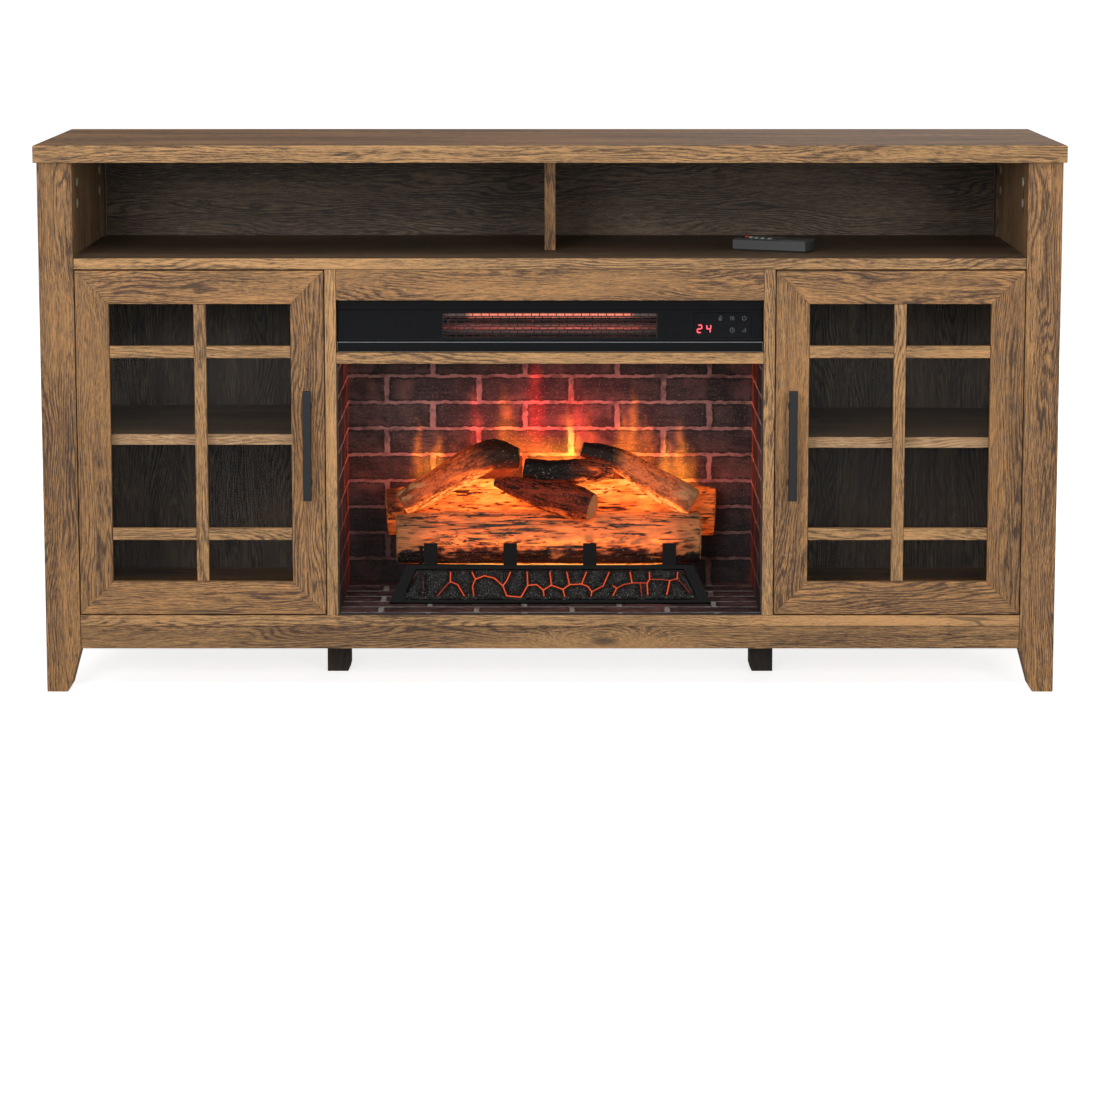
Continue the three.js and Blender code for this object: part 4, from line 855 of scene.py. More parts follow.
coil, tree, shader = new_finish("glowing_quartz", Roughness=0.12, **{
    "Base Color": srgb("8A8078"), "Emission Color": srgb("FF8468")})
axes = add_node(tree, "SeparateXYZ", [place_in_mm(tree)])
turns = add_node(tree, "Math", [axes, COIL_PITCH], operation="PINGPONG")
lively = add_node(tree, "MapRange", [turns, 0.0, COIL_PITCH, 1.1, 0.6])
from_middle = add_node(tree, "Math", [axes], operation="ABSOLUTE")
heated = add_node(tree, "MapRange", [from_middle, COIL_END, CAP_START, 1.0, 0.02])
glow = add_node(tree, "Math", [lively, heated], operation="MULTIPLY")
join_up(tree, shader, Emission_Strength=glow)
CERAMIC = grained("white_ceramic", "D8D2C6", "C4BDB0", 1.0, 0.03, 0.5)
tube = dress_node("quartz_tube", coil)
tube.data.materials.append(CERAMIC)
for polygon in tube.data.polygons:
    reach = math.hypot(polygon.center.y - TUBE_Y, polygon.center.z - TUBE_Z)
    polygon.material_index = int(reach > TUBE_RADIUS)
for across in HEATER_LAMPS:
    warm_lamp(f"heater_lamp_{across + 110}", (across, -116, 541), 2.4, 3, "FF6458")
print("heater lamps", len(HEATER_LAMPS))

# %% [markdown]
# Behind the smoked window a lamp display shows the heater's setting in plain digits. A
# digit is made of bars: each is a short block whose ends are cut to points, copied to its
# place in the figure eight and leaned a little.

# %% Display digits
DIGIT_HALF = 5.4 * MM          # half the height of a digit, between the middles of its bars
DIGIT_WIDTH = 5.6 * MM
BAR_HALF = 0.75 * MM
LEAN = 0.12                    # sideways for each step up
FIRST_DIGIT, DIGIT_STEP = 8 * MM, 13 * MM  # from the window's left edge, and from one digit to the next
DIGIT_LEVEL = 533 * MM
# the bars of a figure eight: the middle of each, as shares of width and half height, and its turn
BARS = {"top": (0, 1, 0), "middle": (0, 0, 0), "bottom": (0, -1, 0), "upper_left": (-0.5, 0.5, 90),
        "upper_right": (0.5, 0.5, 90), "lower_left": (-0.5, -0.5, 90), "lower_right": (0.5, -0.5, 90)}
DIGITS = {"2": ("top", "upper_right", "middle", "lower_left", "bottom"),
          "4": ("upper_left", "upper_right", "middle", "lower_right")}


def lit_bar():
    """One pointed bar of a digit, along X, facing -Y."""
    half = DIGIT_WIDTH / 2
    made = start_box("bar_pattern", (-half, -0.25 * MM, -BAR_HALF), (half, 0, BAR_HALF))
    for end in (-1, 1):
        for edge in (-1, 1):
            cut_plane(made, (end * half, 0, 0), (end, 0, edge), clear=True)
    return made


window_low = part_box("display_window")[0]
LIT_RED = grained("lit_red", "FF4A5A", "FF6670", 3.0, 0.0, 0.5, **{
    "Emission Color": srgb("FF4050"), "Emission Strength": 1.0})
bar = lit_bar()
for place, digit in enumerate("24"):
    middle = Vector((window_low.x + FIRST_DIGIT + place * DIGIT_STEP, window_low.y, DIGIT_LEVEL))
    bars = []
    for part in DIGITS[digit]:
        across, up, turn = BARS[part]
        shift = Vector((across * DIGIT_WIDTH + LEAN * up * DIGIT_HALF, 0, up * DIGIT_HALF))
        bars.append(copy_to(bar, part, middle + shift, (0, turn, 0)))
    pick(bars[0])
    for made in bars:
        made.select_set(True)
    bpy.ops.object.join()
    bars[0].name = bars[0].data.name = f"display_digit_{place + 1}"
    dress(bars[0], LIT_RED, "stand")
drop(bar)
print("digits", place + 1)

# %% [markdown]
# Five dim marks beside the digits stand for the touch keys. They are drawn as thin
# strokes, each a curve that is made a mesh and pressed flat, so that a stroke has a real
# width and height. The remote control has the same marks beside its keys.

# %% Key marks
def arc(radius, start, end, middle=(0, 0), steps=20):
    """Points round a circle, between two angles in degrees."""
    angles = [math.radians(start + (end - start) * step / steps) for step in range(steps + 1)]
    return [(middle[0] + radius * math.cos(angle), middle[1] + radius * math.sin(angle)) for angle in angles]


def wave(across):
    """A rising wavy line, for warm air."""
    return [(across + 0.07 * math.sin(step * math.pi / 4), -0.4 + 0.1 * step) for step in range(9)]


# the strokes of each mark, in a square one unit wide
MARKS = {
    "power": [arc(0.4, 125, 415), [(0, 0.05), (0, 0.5)]],
    "flame": [[(0.02, 0.5), (0.26, 0.12), (0.3, -0.18), (0.16, -0.42), (-0.12, -0.44), (-0.3, -0.22),
               (-0.26, 0.06), (-0.1, 0.16), (0.02, 0.5)], arc(0.1, 0, 360, (0.0, -0.2), 10)],
    "heat": [wave(-0.3), wave(0), wave(0.3)],
    "timer": [arc(0.42, 0, 360), [(0, 0.26), (0, 0), (0.2, -0.06)]],
    "level": [[(-0.3, -0.4), (-0.3, -0.1)], [(0, -0.4), (0, 0.15)], [(0.3, -0.4), (0.3, 0.4)]],
}


def line_mark(mark, size, width, depth):
    """A mark drawn in flat strokes that face up, with its middle in the origin."""
    data = bpy.data.curves.new(f"{mark}_mark", "CURVE")
    data.dimensions = "3D"
    data.bevel_depth = width / 2
    data.bevel_resolution = 1
    data.use_fill_caps = True
    for points in MARKS[mark]:
        line = data.splines.new("POLY")
        line.points.add(len(points) - 1)
        for point, (across, up) in zip(line.points, points):
            point.co = (across * size, up * size, 0, 1)
    made = bpy.data.objects.new(f"{mark}_mark", data)
    bpy.context.scene.collection.objects.link(made)
    pick(made)
    bpy.ops.object.convert(target="MESH")
    made = bpy.context.object
    made.scale = (1, 1, depth / width)
    settle(made)
    return made


# the grey print is made to glow faintly, a painted light that keeps the marks showing on the dark window
KEY_PRINT_PAINTED_GLOW = grained("key_print_painted_glow", "3E4247", "4A4E53", 2.0, 0.0, 0.5, **{
    "Emission Color": srgb("3E4247"), "Emission Strength": 0.5})
TOUCH_MARKS = [("flame", 246.5, 548.5), ("heat", 263.8, 548.5), ("power", 281.0, 548.5),
               ("timer", 263.8, 531.1), ("level", 281.0, 531.1)]
for mark, across, height in TOUCH_MARKS:
    made = line_mark(mark, 7.5 * MM, 0.7 * MM, 0.2 * MM)
    made.rotation_euler = (math.radians(90), 0, 0)
    made.location = (across * MM, window_low.y - 0.1 * MM, height * MM)
    settle(made)
    made.name = made.data.name = f"display_{mark}_mark"
    dress(made, KEY_PRINT_PAINTED_GLOW, "stand")
print("display marks", len(TOUCH_MARKS))

# %% [markdown]
# The firebox liner is a folded steel sheet with a brick picture printed on it: dark
# burnt bricks, 140 by 40 mm with rough edges, in half bond. Blender's brick pattern gives
# the rows, on a place that wanders a little so that no joint is straight. Soot, specks,
# creases, smears and worn joints are then printed over it one after another.

# %% Brick print
BRICK_LENGTH, ROW_HEIGHT = 140.0, 40.2     # mm, half bond
BRICK_SQUEEZE = 0.6            # the pattern is drawn shorter along a row, which widens its upright joints
SIDEWAYS, LOWER = 32.1, 31.6   # where the print's first joints lie, in mm
WANDER = 7.0                   # a joint's edges wander by half of this, in mm
HAZE = 0.035                   # black ink still throws back this share of the flame light


def brick_print(name, across, up, mortar="9C716A", fire=1.6, shade=0.6, folds=False):
    """The printed brick for a face whose rows run along one axis and stack along another."""
    made, tree, shader = new_finish(name, Roughness=0.62, **{"Specular IOR Level": 0.2})
    place = place_in_mm(tree)
    wander = streaked(tree, place, 11, 11, 4.0).outputs["Color"]
    wander = add_node(tree, "VectorMath", [wander, (0.5, 0.5, 0.5)], operation="SUBTRACT")
    bent = add_node(tree, "VectorMath", [wander, (WANDER, WANDER, WANDER), place], operation="MULTIPLY_ADD")
    axes = add_node(tree, "SeparateXYZ", [bent])
    along = add_node(tree, "Math", [axes.outputs[across], 10 * BRICK_LENGTH - SIDEWAYS], operation="ADD")
    along = add_node(tree, "Math", [along, BRICK_SQUEEZE], operation="MULTIPLY")
    above = add_node(tree, "Math", [axes.outputs[up], 20 * ROW_HEIGHT - LOWER], operation="ADD")
    flat = add_node(tree, "CombineXYZ", {"X": along, "Y": above})
    rows = {"Vector": flat, "Scale": 1.0, "Brick Width": BRICK_LENGTH * BRICK_SQUEEZE,
            "Row Height": ROW_HEIGHT}
    brick = add_node(tree, "TexBrick", {**rows, "Color1": srgb("302625"), "Color2": srgb("4C3935"),
                                        "Mortar": srgb(mortar), "Mortar Size": 2.9, "Mortar Smooth": 0.35})
    joint = add_node(tree, "TexBrick", {**rows, "Mortar Size": 6.2, "Mortar Smooth": 0.4})
    lines = brick.outputs["Fac"]
    body = add_node(tree, "Math", [1.0, lines], operation="SUBTRACT")
    rim = add_node(tree, "Math", [joint.outputs["Fac"], lines], operation="SUBTRACT")
    drawn = add_node(tree, "VectorMath", [flat, (1 / 44, 1 / 7, 1.0)], operation="MULTIPLY")
    drawn = add_node(tree, "TexNoise", {"Vector": drawn, "Scale": 1.0, "Detail": 3.0})
    drawn = add_node(tree, "Math", [drawn, 0.5], operation="SUBTRACT")
    drawn = add_node(tree, "Math", [drawn], operation="ABSOLUTE")
    crease = add_node(tree, "MapRange", [drawn, 0.035, 0.0], **SMOOTH)
    # size in mm, detail and limits of each pattern of the print
    soot, speck, smear, worn, ragged, shaded = (
        add_node(tree, "MapRange", [streaked(tree, place, size, size, detail), low, high], **SMOOTH)
        for size, detail, low, high in ((34, 4.0, 0.42, 0.64), (3.2, 2.0, 0.52, 0.7), (46, 4.0, 0.5, 0.7),
                                        (22, 5.0, 0.46, 0.64), (5, 3.0, 0.35, 0.6), (9, 3.0, 0.75, 0.35)))
    colour = brick.outputs["Color"]
    for pattern, where, strength, code in (
            (soot, body, 0.85, "151111"), (speck, body, 0.45, "7C5752"), (crease, body, 0.75, "0F0B0C"),
            (smear, body, 0.55, "7A524C"), (worn, lines, 0.8, "5A3F3C"), (ragged, rim, 0.9, "0E0A0B"),
            (shaded, 1.0, 0.25, "241A1B")):
        amount = add_node(tree, "Math", [pattern, where], operation="MULTIPLY")
        amount = add_node(tree, "Math", [amount, strength], operation="MULTIPLY")
        colour = add_node(tree, "Mix", {0: amount, 6: colour, 7: srgb(code)}, data_type="RGBA")
    # towards the bottom the print is mixed with near black, a painted shade for the low corners of the
    # firebox; the shade argument sets how much
    height = add_node(tree, "SeparateXYZ", [place]).outputs["Z"]
    painted_low_shade = add_node(tree, "MapRange", [height, 150.0, 340.0, shade, 0.0], **SMOOTH)
    colour = add_node(tree, "Mix", {0: painted_low_shade, 6: colour, 7: srgb("140F10")}, data_type="RGBA")
    relief = add_node(tree, "Math", [speck, 0.25, body], operation="MULTIPLY_ADD")
    bump = add_node(tree, "Bump", {"Height": relief, "Distance": 0.5 * MM, "Strength": 0.5})
    join_up(tree, shader, Base_Color=colour, Normal=bump)
    if fire:
        light = fire_light(tree, place, folds)
        light = add_node(tree, "VectorMath", {0: light, "Scale": fire}, operation="SCALE")
        hazed = add_node(tree, "VectorMath", [colour, (HAZE, HAZE, HAZE)], operation="ADD")
        lit = add_node(tree, "VectorMath", [hazed, light], operation="MULTIPLY")
        join_up(tree, shader, Emission_Color=lit)
        shader.inputs["Emission Strength"].default_value = 1.0
    return made


# %% [markdown]
# The insert throws moving flame light on the liner, strongest above the middle of the
# logs. Here that light is worked out from the place on the wall: a red and an orange glow,
# and eighteen tongues with their own place, width and height. The brick print multiplies
# it by its own colour, as real light is.

# %% Flame light
# across from the middle, foot, half width, height (mm), strength and colour of each tongue
TONGUES = [
    (-201, 284, 9, 84, 4.4, "FF8A22"), (-186, 282, 7, 44, 3.2, "FFA030"), (-172, 284, 10, 66, 5.2, "FF9426"),
    (-112, 338, 9, 84, 2.8, "FF4A3A"), (-68, 318, 12, 104, 4.4, "FF8422"), (-52, 318, 7, 50, 2.2, "FF8422"),
    (-30, 318, 24, 40, 6.0, "FF7A20"), (-22, 345, 12, 125, 4.6, "FF2C26"), (4, 300, 32, 42, 8.0, "FF8E24"),
    (31, 300, 10, 84, 7.5, "FFA436"), (40, 350, 20, 80, 1.8, "FF3A24"), (60, 330, 12, 60, 1.6, "FF6A20"),
    (110, 312, 9, 76, 4.6, "FF8A22"), (127, 306, 9, 112, 5.4, "FF8A22"), (146, 300, 10, 78, 3.6, "FF8022"),
    (176, 274, 11, 70, 6.4, "FFA030"), (200, 268, 11, 92, 6.6, "FF9A2A"), (216, 262, 8, 66, 3.4, "FF8A22"),
]


def fire_light(tree, place, folds):
    """The colour and strength of the flame light that falls at a place on the liner."""
    axes = add_node(tree, "SeparateXYZ", [place])
    sway = add_node(tree, "VectorMath", [place, (1 / 40, 1 / 40, 1 / 26)], operation="MULTIPLY")
    sway = add_node(tree, "TexNoise", {"Vector": sway, "Scale": 1.0, "Detail": 2.0}).outputs["Fac"]
    shifted = add_node(tree, "Math", [sway, 0.5], operation="SUBTRACT")
    shifted = add_node(tree, "Math", [shifted, 26.0, axes.outputs["X"]], operation="MULTIPLY_ADD")
    # each part of the light: its colour and the value that scales it
    parts = []
    for across, foot, width, height, strength, code in TONGUES:
        rise = add_node(tree, "Math", [axes.outputs["Z"], foot], operation="SUBTRACT")
        rise = add_node(tree, "Math", [rise, height], operation="DIVIDE")
        inside = add_node(tree, "MapRange", [rise, -0.25, 0.05], **SMOOTH)
        fade = add_node(tree, "MapRange", [rise, 0.1, 1.15, 1.0, 0.0], **SMOOTH)
        slim = add_node(tree, "Math", [fade, width * 0.7, width * 0.35], operation="MULTIPLY_ADD")
        off = add_node(tree, "Math", [shifted, across], operation="SUBTRACT")
        off = add_node(tree, "Math", [off, slim], operation="DIVIDE")
        off = add_node(tree, "Math", [off, off], operation="MULTIPLY")
        value = add_node(tree, "Math", [1 / math.e, off], operation="POWER")
        for share in (inside, fade, strength):
            value = add_node(tree, "Math", [value, share], operation="MULTIPLY")
        parts.append((code, value))
    for centre, reach, strength, code in (((5, 67, 360), (120, 120, 62), 1.5, "FF3422"),
                                          ((0, 67, 285), (205, 110, 42), 1.7, "FF5A20")):
        off = add_node(tree, "VectorMath", [place, centre], operation="SUBTRACT")
        off = add_node(tree, "VectorMath", [off, reach], operation="DIVIDE")
        off = add_node(tree, "VectorMath", [off, off], operation="DOT_PRODUCT")
        value = add_node(tree, "Math", [1 / math.e, off.outputs["Value"]], operation="POWER")
        parts.append((code, add_node(tree, "Math", [value, strength], operation="MULTIPLY")))
    if folds:
        # the sides catch an orange light that is strongest beside the back sheet
        beside = add_node(tree, "MapRange", [axes.outputs["Y"], -160.0, 66.0])
        beside = add_node(tree, "Math", [beside, 2.0], operation="POWER")
        uneven = add_node(tree, "Math", [sway, 0.672, 0.042], operation="MULTIPLY_ADD")
        parts.append(("FF5A30", add_node(tree, "Math", [beside, uneven], operation="MULTIPLY")))
    total = (0.0, 0.0, 0.0)
    for code, value in parts:
        light = add_node(tree, "VectorMath", {0: srgb(code)[:3], "Scale": value}, operation="SCALE")
        total = add_node(tree, "VectorMath", [total, light], operation="ADD")
    return total


print("tongues", len(TONGUES))

# %% [markdown]
# The liner keeps its CAD shape. Its faces are shared out between three prints by where
# they look: the back, whose rows run across, the two sides, whose rows run from front to
# back and catch more of the fire, and the hearth, which is grey and throws no light back.

# %% Firebox liner
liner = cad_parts["firebox_liner"]
liner_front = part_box("firebox_liner")[0].y
BACK_DEPTH, HEARTH_TOP = 60 * MM, 130 * MM  # the back sheet lies behind the one, the floor below the other
liner.data.materials.clear()
for material in (BLACK_SHEET,
                 brick_print("printed_brick_back", "X", "Z"),
                 # the sides get a paler mortar than the back, a painted light for the fire they catch
                 brick_print("printed_brick_side", "Y", "Z", "B88A80", 2.3, folds=True),
                 brick_print("printed_brick_hearth", "X", "Y", "8E8A88", 0, 0.0)):
    liner.data.materials.append(material)
for polygon in liner.data.polygons:
    normal, centre = polygon.normal, polygon.center
    back = normal.y < -0.9 and centre.y > BACK_DEPTH
    side = abs(normal.x) > 0.9 and normal.x * centre.x < 0 and centre.y > liner_front + 1 * MM
    hearth = normal.z > 0.9 and centre.z < HEARTH_TOP
    polygon.material_index = 1 if back else 2 if side else 3 if hearth else 0
print("liner faces", len(liner.data.polygons))

# %% [markdown]
# The logs of such an insert are cast in resin from real wood and painted, and lamps glow
# through and between them. Each log here starts as a copy of its CAD solid. Its seams are
# closed, and it is remeshed in even squares of about 2 mm, fine enough to hold bark.

# %% Log meshes
def smooth_step(value, low, high):
    """0 below low, 1 above high, and a smooth rise between."""
    share = min(max((value - low) / (high - low), 0.0), 1.0)
    return share * share * (3 - 2 * share)


def set_values(piece, name, values):
    """Keeps one number for every point of a mesh, for its material to read."""
    attribute = piece.data.attributes.new(name, "FLOAT", "POINT")
    attribute.data.foreach_set("value", np.array(values, np.float32))


def fine_copy(node, name, voxel):
    """A copy of a CAD node with its seams closed and an even fine mesh."""
    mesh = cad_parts[node].data.copy()
    made = bpy.data.objects.new(name, mesh)
    mesh.name = name
    bpy.context.scene.collection.objects.link(made)
    pick(made)
    bpy.ops.object.mode_set(mode="EDIT")
    bpy.ops.mesh.select_all(action="SELECT")
    bpy.ops.mesh.remove_doubles(threshold=0.01 * MM)
    bpy.ops.mesh.normals_make_consistent(inside=False)
    bpy.ops.object.mode_set(mode="OBJECT")
    finish_with(made, "REMESH", mode="VOXEL", voxel_size=voxel)
    finish_with(made, "SMOOTH", factor=0.5, iterations=14)
    return made


# %% [markdown]
# Four values will be kept with every point of a log: the bark's height, how charred it
# is, whether it lies on a sawn end, and how much it glows. The paint is mixed from those,
# so that relief, soot and light agree. Lines too fine for the mesh are added here.

# %% Resin paint
def heat_colour(tree, value, brightest, stops):
    """The colour of a glow, from none to its brightest."""
    heat = add_node(tree, "ValToRGB", [value])
    heat.color_ramp.elements[0].color = srgb("000000")
    heat.color_ramp.elements[1].color = srgb(brightest)
    for share, code in stops:
        heat.color_ramp.elements.new(share).color = srgb(code)
    return heat


def resin(name, dark, light, char, along, scaly, split):
    """Painted resin that reads the bark, char, cut and glow values of its points.

    Fine lines along the log are added: long splits on split wood, and a net of scales on bark."""
    made, tree, shader = new_finish(name, Roughness=0.6, **{
        "Specular IOR Level": 0.1, "Emission Strength": 1.0})
    turn = along.rotation_difference(Vector((1, 0, 0))).to_euler()
    turned = add_node(tree, "Mapping", {"Vector": place_in_mm(tree), "Rotation": turn})
    bark, charred, cut, glow = (add_node(tree, "Attribute", attribute_name=key).outputs["Fac"]
                                for key in ("bark", "char", "cut", "glow"))
    fine, broad, fleck = (streaked(tree, turned, *sizes)
                          for sizes in ((5, 1.6, 3), (46, 15, 2), (3.4, 1.7, 2)))
    if scaly:
        net = add_node(tree, "VectorMath", [turned, (1 / 6, 1 / 3, 1 / 3)], operation="MULTIPLY")
        net = add_node(tree, "TexVoronoi", {"Vector": net, "Scale": 1.0}, feature="DISTANCE_TO_EDGE")
        net = add_node(tree, "MapRange", [net, 0.02, 0.2, 0.68, 1.0])
        bark = add_node(tree, "Math", [bark, net], operation="MULTIPLY")
    if split:
        lines = []
        for long, across, low, high, least in ((170, 7, 0.008, 0.04, 0.0), (70, 3, 0.004, 0.03, 0.2)):
            off = add_node(tree, "Math", [streaked(tree, turned, long, across, 1), 0.5], operation="SUBTRACT")
            off = add_node(tree, "Math", [off], operation="ABSOLUTE")
            lines.append(add_node(tree, "MapRange", [off, low, high, least]))
        # the splits are gathered in places, and the wood between them stays clean
        clean = add_node(tree, "MapRange", [streaked(tree, turned, 120, 17), 0.46, 0.54])
        cracked = add_node(tree, "Math", lines, operation="MULTIPLY")
        cracked = add_node(tree, "Math", [cracked, clean], operation="MAXIMUM")
        bark = add_node(tree, "Math", [bark, cracked], operation="MULTIPLY")
    for pattern, least, most in ((fine, -0.1, 0.1), (broad, -0.22, 0.16)):
        change = add_node(tree, "MapRange", [pattern, 0.3, 0.7, least, most])
        bark = add_node(tree, "Math", [bark, change], operation="ADD", use_clamp=True)
    wood = add_node(tree, "Mix", {0: bark, 6: srgb(dark), 7: srgb(light)}, data_type="RGBA")
    sawn = add_node(tree, "Mix", {0: fine, 6: srgb("C49468"), 7: srgb("8A5E3C")}, data_type="RGBA")
    burnt = add_node(tree, "Mix", {0: bark, 6: srgb("050504"), 7: srgb(char)}, data_type="RGBA")
    # pale grey flecks on the char are painted glints, highlights on the glossy paint
    painted_glints = add_node(tree, "MapRange", [fleck, 0.66, 0.72, 0.0, 0.8])
    burnt = add_node(tree, "Mix", {0: painted_glints, 6: burnt, 7: srgb("8E8A84")}, data_type="RGBA")
    colour = add_node(tree, "Mix", {0: charred, 6: wood, 7: burnt}, data_type="RGBA")
    colour = add_node(tree, "Mix", {0: cut, 6: colour, 7: sawn}, data_type="RGBA")
    relief = add_node(tree, "Math", [fine, bark], operation="ADD")
    bump = add_node(tree, "Bump", {"Height": relief, "Distance": 0.6 * MM})
    # char and the depths of the bark hold the glow back
    clear = add_node(tree, "Math", [charred, -0.92, 1.0], operation="MULTIPLY_ADD")
    lit = add_node(tree, "Math", [glow, clear], operation="MULTIPLY")
    raised = add_node(tree, "MapRange", [bark, 0.1, 0.7, 0.06])
    lit = add_node(tree, "Math", [lit, raised], operation="MULTIPLY")
    heat = heat_colour(tree, lit, "FFC060", ((0.22, "6E1E08"), (0.5, "E0561C"), (0.8, "FF8C34")))
    join_up(tree, shader, Base_Color=colour, Normal=bump, Emission_Color=heat)
    return made


# %% [markdown]
# A log is roughened along its length like bark or split wood: noise that is drawn out
# along the axis moves each point in or out. The same height is kept as the bark's value.
# The rules for char and glow follow the photograph: a log is black where the flames play
# round it, and lit from below and through the gaps where it meets the next one.

# %% Logs
def streaks(point, along, long, across, seed, octaves=3):
    """Noise drawn out along a direction, from about -1 to 1, for a point in millimetres."""
    length = point.dot(along)
    drawn = (point - along * length) / across + along * (length / long)
    return shape_noise.fractal(drawn + Vector((seed, seed * 1.7, seed * 0.3)), 0.9, 2.1, octaves)


def cast_log(node, ends, paint, seed, kind, depth, fuller, char, glow, worn=None):
    """One resin log: a fine copy of its solid, roughened, with its painted values.

    The ends of its axis and the depth of its bark are in millimetres, and so is what it swells by at
    mid length. Char, glow and bare wood are rules for a point, its normal and a slow wobble there."""
    scaly, split = kind != "split", kind != "scaly"
    made = fine_copy(node, f"cast_{node}", (1.6 if scaly else 2.1) * MM)
    along = (Vector(ends[1]) - Vector(ends[0])).normalized()
    mesh = made.data
    points = [vertex.co / MM for vertex in mesh.vertices]
    normals = [vertex.normal.copy() for vertex in mesh.vertices]
    reach = [point.dot(along) for point in points]
    low, high = min(reach), max(reach)
    barks, chars, cuts, glows, moved = [], [], [], [], []
    for point, normal, length in zip(points, normals, reach):
        bark = 1.0
        if scaly:
            coarse = streaks(point, along, 14, 4, seed)
            bark = 0.72 + 0.6 * (coarse * 0.5 + streaks(point, along, 6, 2.6, seed + 9, 2) * 0.5)
        if split:
            ridge = abs(streaks(point, along, 150, 9, seed, 2))
            crack = abs(streaks(point, along, 60, 5, seed + 5, 2))
            bark *= smooth_step(ridge, 0.0, 0.08) * (0.7 + 0.3 * smooth_step(crack, 0.0, 0.12))
        bark = min(max(bark, 0.0), 1.0)
        inset = min(length - low, high - length)
        end = smooth_step(abs(normal.dot(along)), 0.72, 0.86) * (1 - smooth_step(inset, 3, 7))
        swell = fuller * smooth_step(inset, 0, 30)
        moved.extend((point + normal * (swell + (bark - 0.8) * depth * (1 - 0.7 * end))) * MM)
        wobble = streaks(point, along, 26, 9, seed + 3)
        barks.append(bark)
        cuts.append(max(end, worn(point, normal, wobble)) if worn else end)
        chars.append(min(max(char(point, normal, wobble), 0), 1) * (1 - end * 0.8))
        glows.append(min(max(glow(point, normal, wobble), 0), 1) * (1 - end * 0.7))
    mesh.vertices.foreach_set("co", np.array(moved, np.float32))
    mesh.update()
    for name, values in (("bark", barks), ("char", chars), ("cut", cuts), ("glow", glows)):
        set_values(made, name, values)
    pick(made)
    bpy.ops.object.shade_smooth()
    dress(made, resin(f"painted_{node}", *paint, along, scaly, split), "stand")
    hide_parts(node)
    print(made.name, len(mesh.vertices), "points")


def band(value, middle, half):
    """1 at the middle of a band, and less the further a value lies from it."""
    return math.exp(-((value - middle) / half) ** 2)


cast_log("front_log", ((-230, -25.5, 200), (226, -25.5, 200)), ("1C2624", "A0623A", "171310"),
         1.3, "split", 2.8, 0.6,
         char=lambda p, n, w: smooth_step(188 + 20 * w - p.z, -7, 6) * smooth_step(p.z, 164, 167),
         glow=lambda p, n, w: smooth_step(226 - abs(p.x), 0, 70) * (
             0.4 + 0.2 * w + 0.45 * band(p.z, 196, 11) * (0.5 + 1.6 * w)
             + 0.9 * smooth_step(166 - p.z, 0, 2)))
cast_log("rear_log", ((-247, 30.5, 234), (250, 30.5, 234)), ("3A1A0C", "B8642C", "14110F"),
         4.1, "split", 2.4, 0.3,
         char=lambda p, n, w: 0.85 * smooth_step(-p.x, 222, 236) * smooth_step(p.z, 232, 240),
         glow=lambda p, n, w: (0.5 + 0.5 * smooth_step(225 - abs(p.x), 0, 40)) * (
             0.56 + 0.35 * w + 0.3 * smooth_step(p.z, 248, 270)))
cast_log("left_log", ((-223, -17.5, 251), (-60, -7, 330)), ("2A140B", "86482A", "2C1A12"),
         7.7, "scaly", 1.3, 3.4,
         char=lambda p, n, w: 0.95 * smooth_step(p.x + 22 * w + 16 * n.z, -128, -80),
         glow=lambda p, n, w: smooth_step(-n.z + 0.25 * w, 0.1, 0.8) + 0.34 * (
             smooth_step(p.x, -225, -190) * (1 - smooth_step(p.x, -110, -70))),
         worn=lambda p, n, w: 0.8 * smooth_step(-p.x, 178, 200) * smooth_step(w + n.z - 0.4, 0.0, 0.5))
cast_log("right_log", ((47, -6.5, 333), (216, -18.5, 252)), ("38200F", "965C3A", "100D0C"),
         3.9, "scaly", 1.1, 2.8,
         char=lambda p, n, w: 0.95 * smooth_step(-p.x + 12 * w + 8 * n.z, -112, -88),
         glow=lambda p, n, w: smooth_step(-n.z + 0.25 * w, 0.1, 0.8) + 0.34 * (
             smooth_step(p.x, 92, 115) * (1 - smooth_step(p.x, 185, 215))),
         worn=lambda p, n, w: 0.6 * smooth_step(p.x, 150, 205) * smooth_step(n.z + w, 0.1, 0.6))
cast_log("cross_log", ((-40, -12.5, 304), (95, -12.5, 303)), ("100C0A", "5A3420", "17120F"),
         5.3, "cracked", 1.8, 3.4,
         char=lambda p, n, w: 0.95 - 0.8 * smooth_step(p.x + 20 * w, 15, 70),
         glow=lambda p, n, w: 0.9 * smooth_step(-n.z + 0.4 * w, 0.1, 0.9) + (
             0.3 + 0.5 * max(w, 0)) * smooth_step(p.x, 10, 75))
cast_log("centre_log", ((-84, -16.5, 285), (64, -60.5, 253)), ("0A0504", "64291A", "14110F"),
         8.8, "cracked", 2.6, 3.0,
         char=lambda p, n, w: 0.1 + 0.5 * max(w, 0),
         glow=lambda p, n, w: 0.5 * smooth_step(-n.z + 0.3 * w, 0.1, 1.0) + 0.19 + 0.22 * w)

# %% [markdown]
# The coal bed is one vacuum-formed piece too: coals in two rows, painted black over a
# clear orange plastic, so that only the grooves between them let the lamps through. The
# grooves are listed as lines on the sloping bed. Every point of a fine grid rises with
# its distance from the nearest groove, which makes the round coals between them.

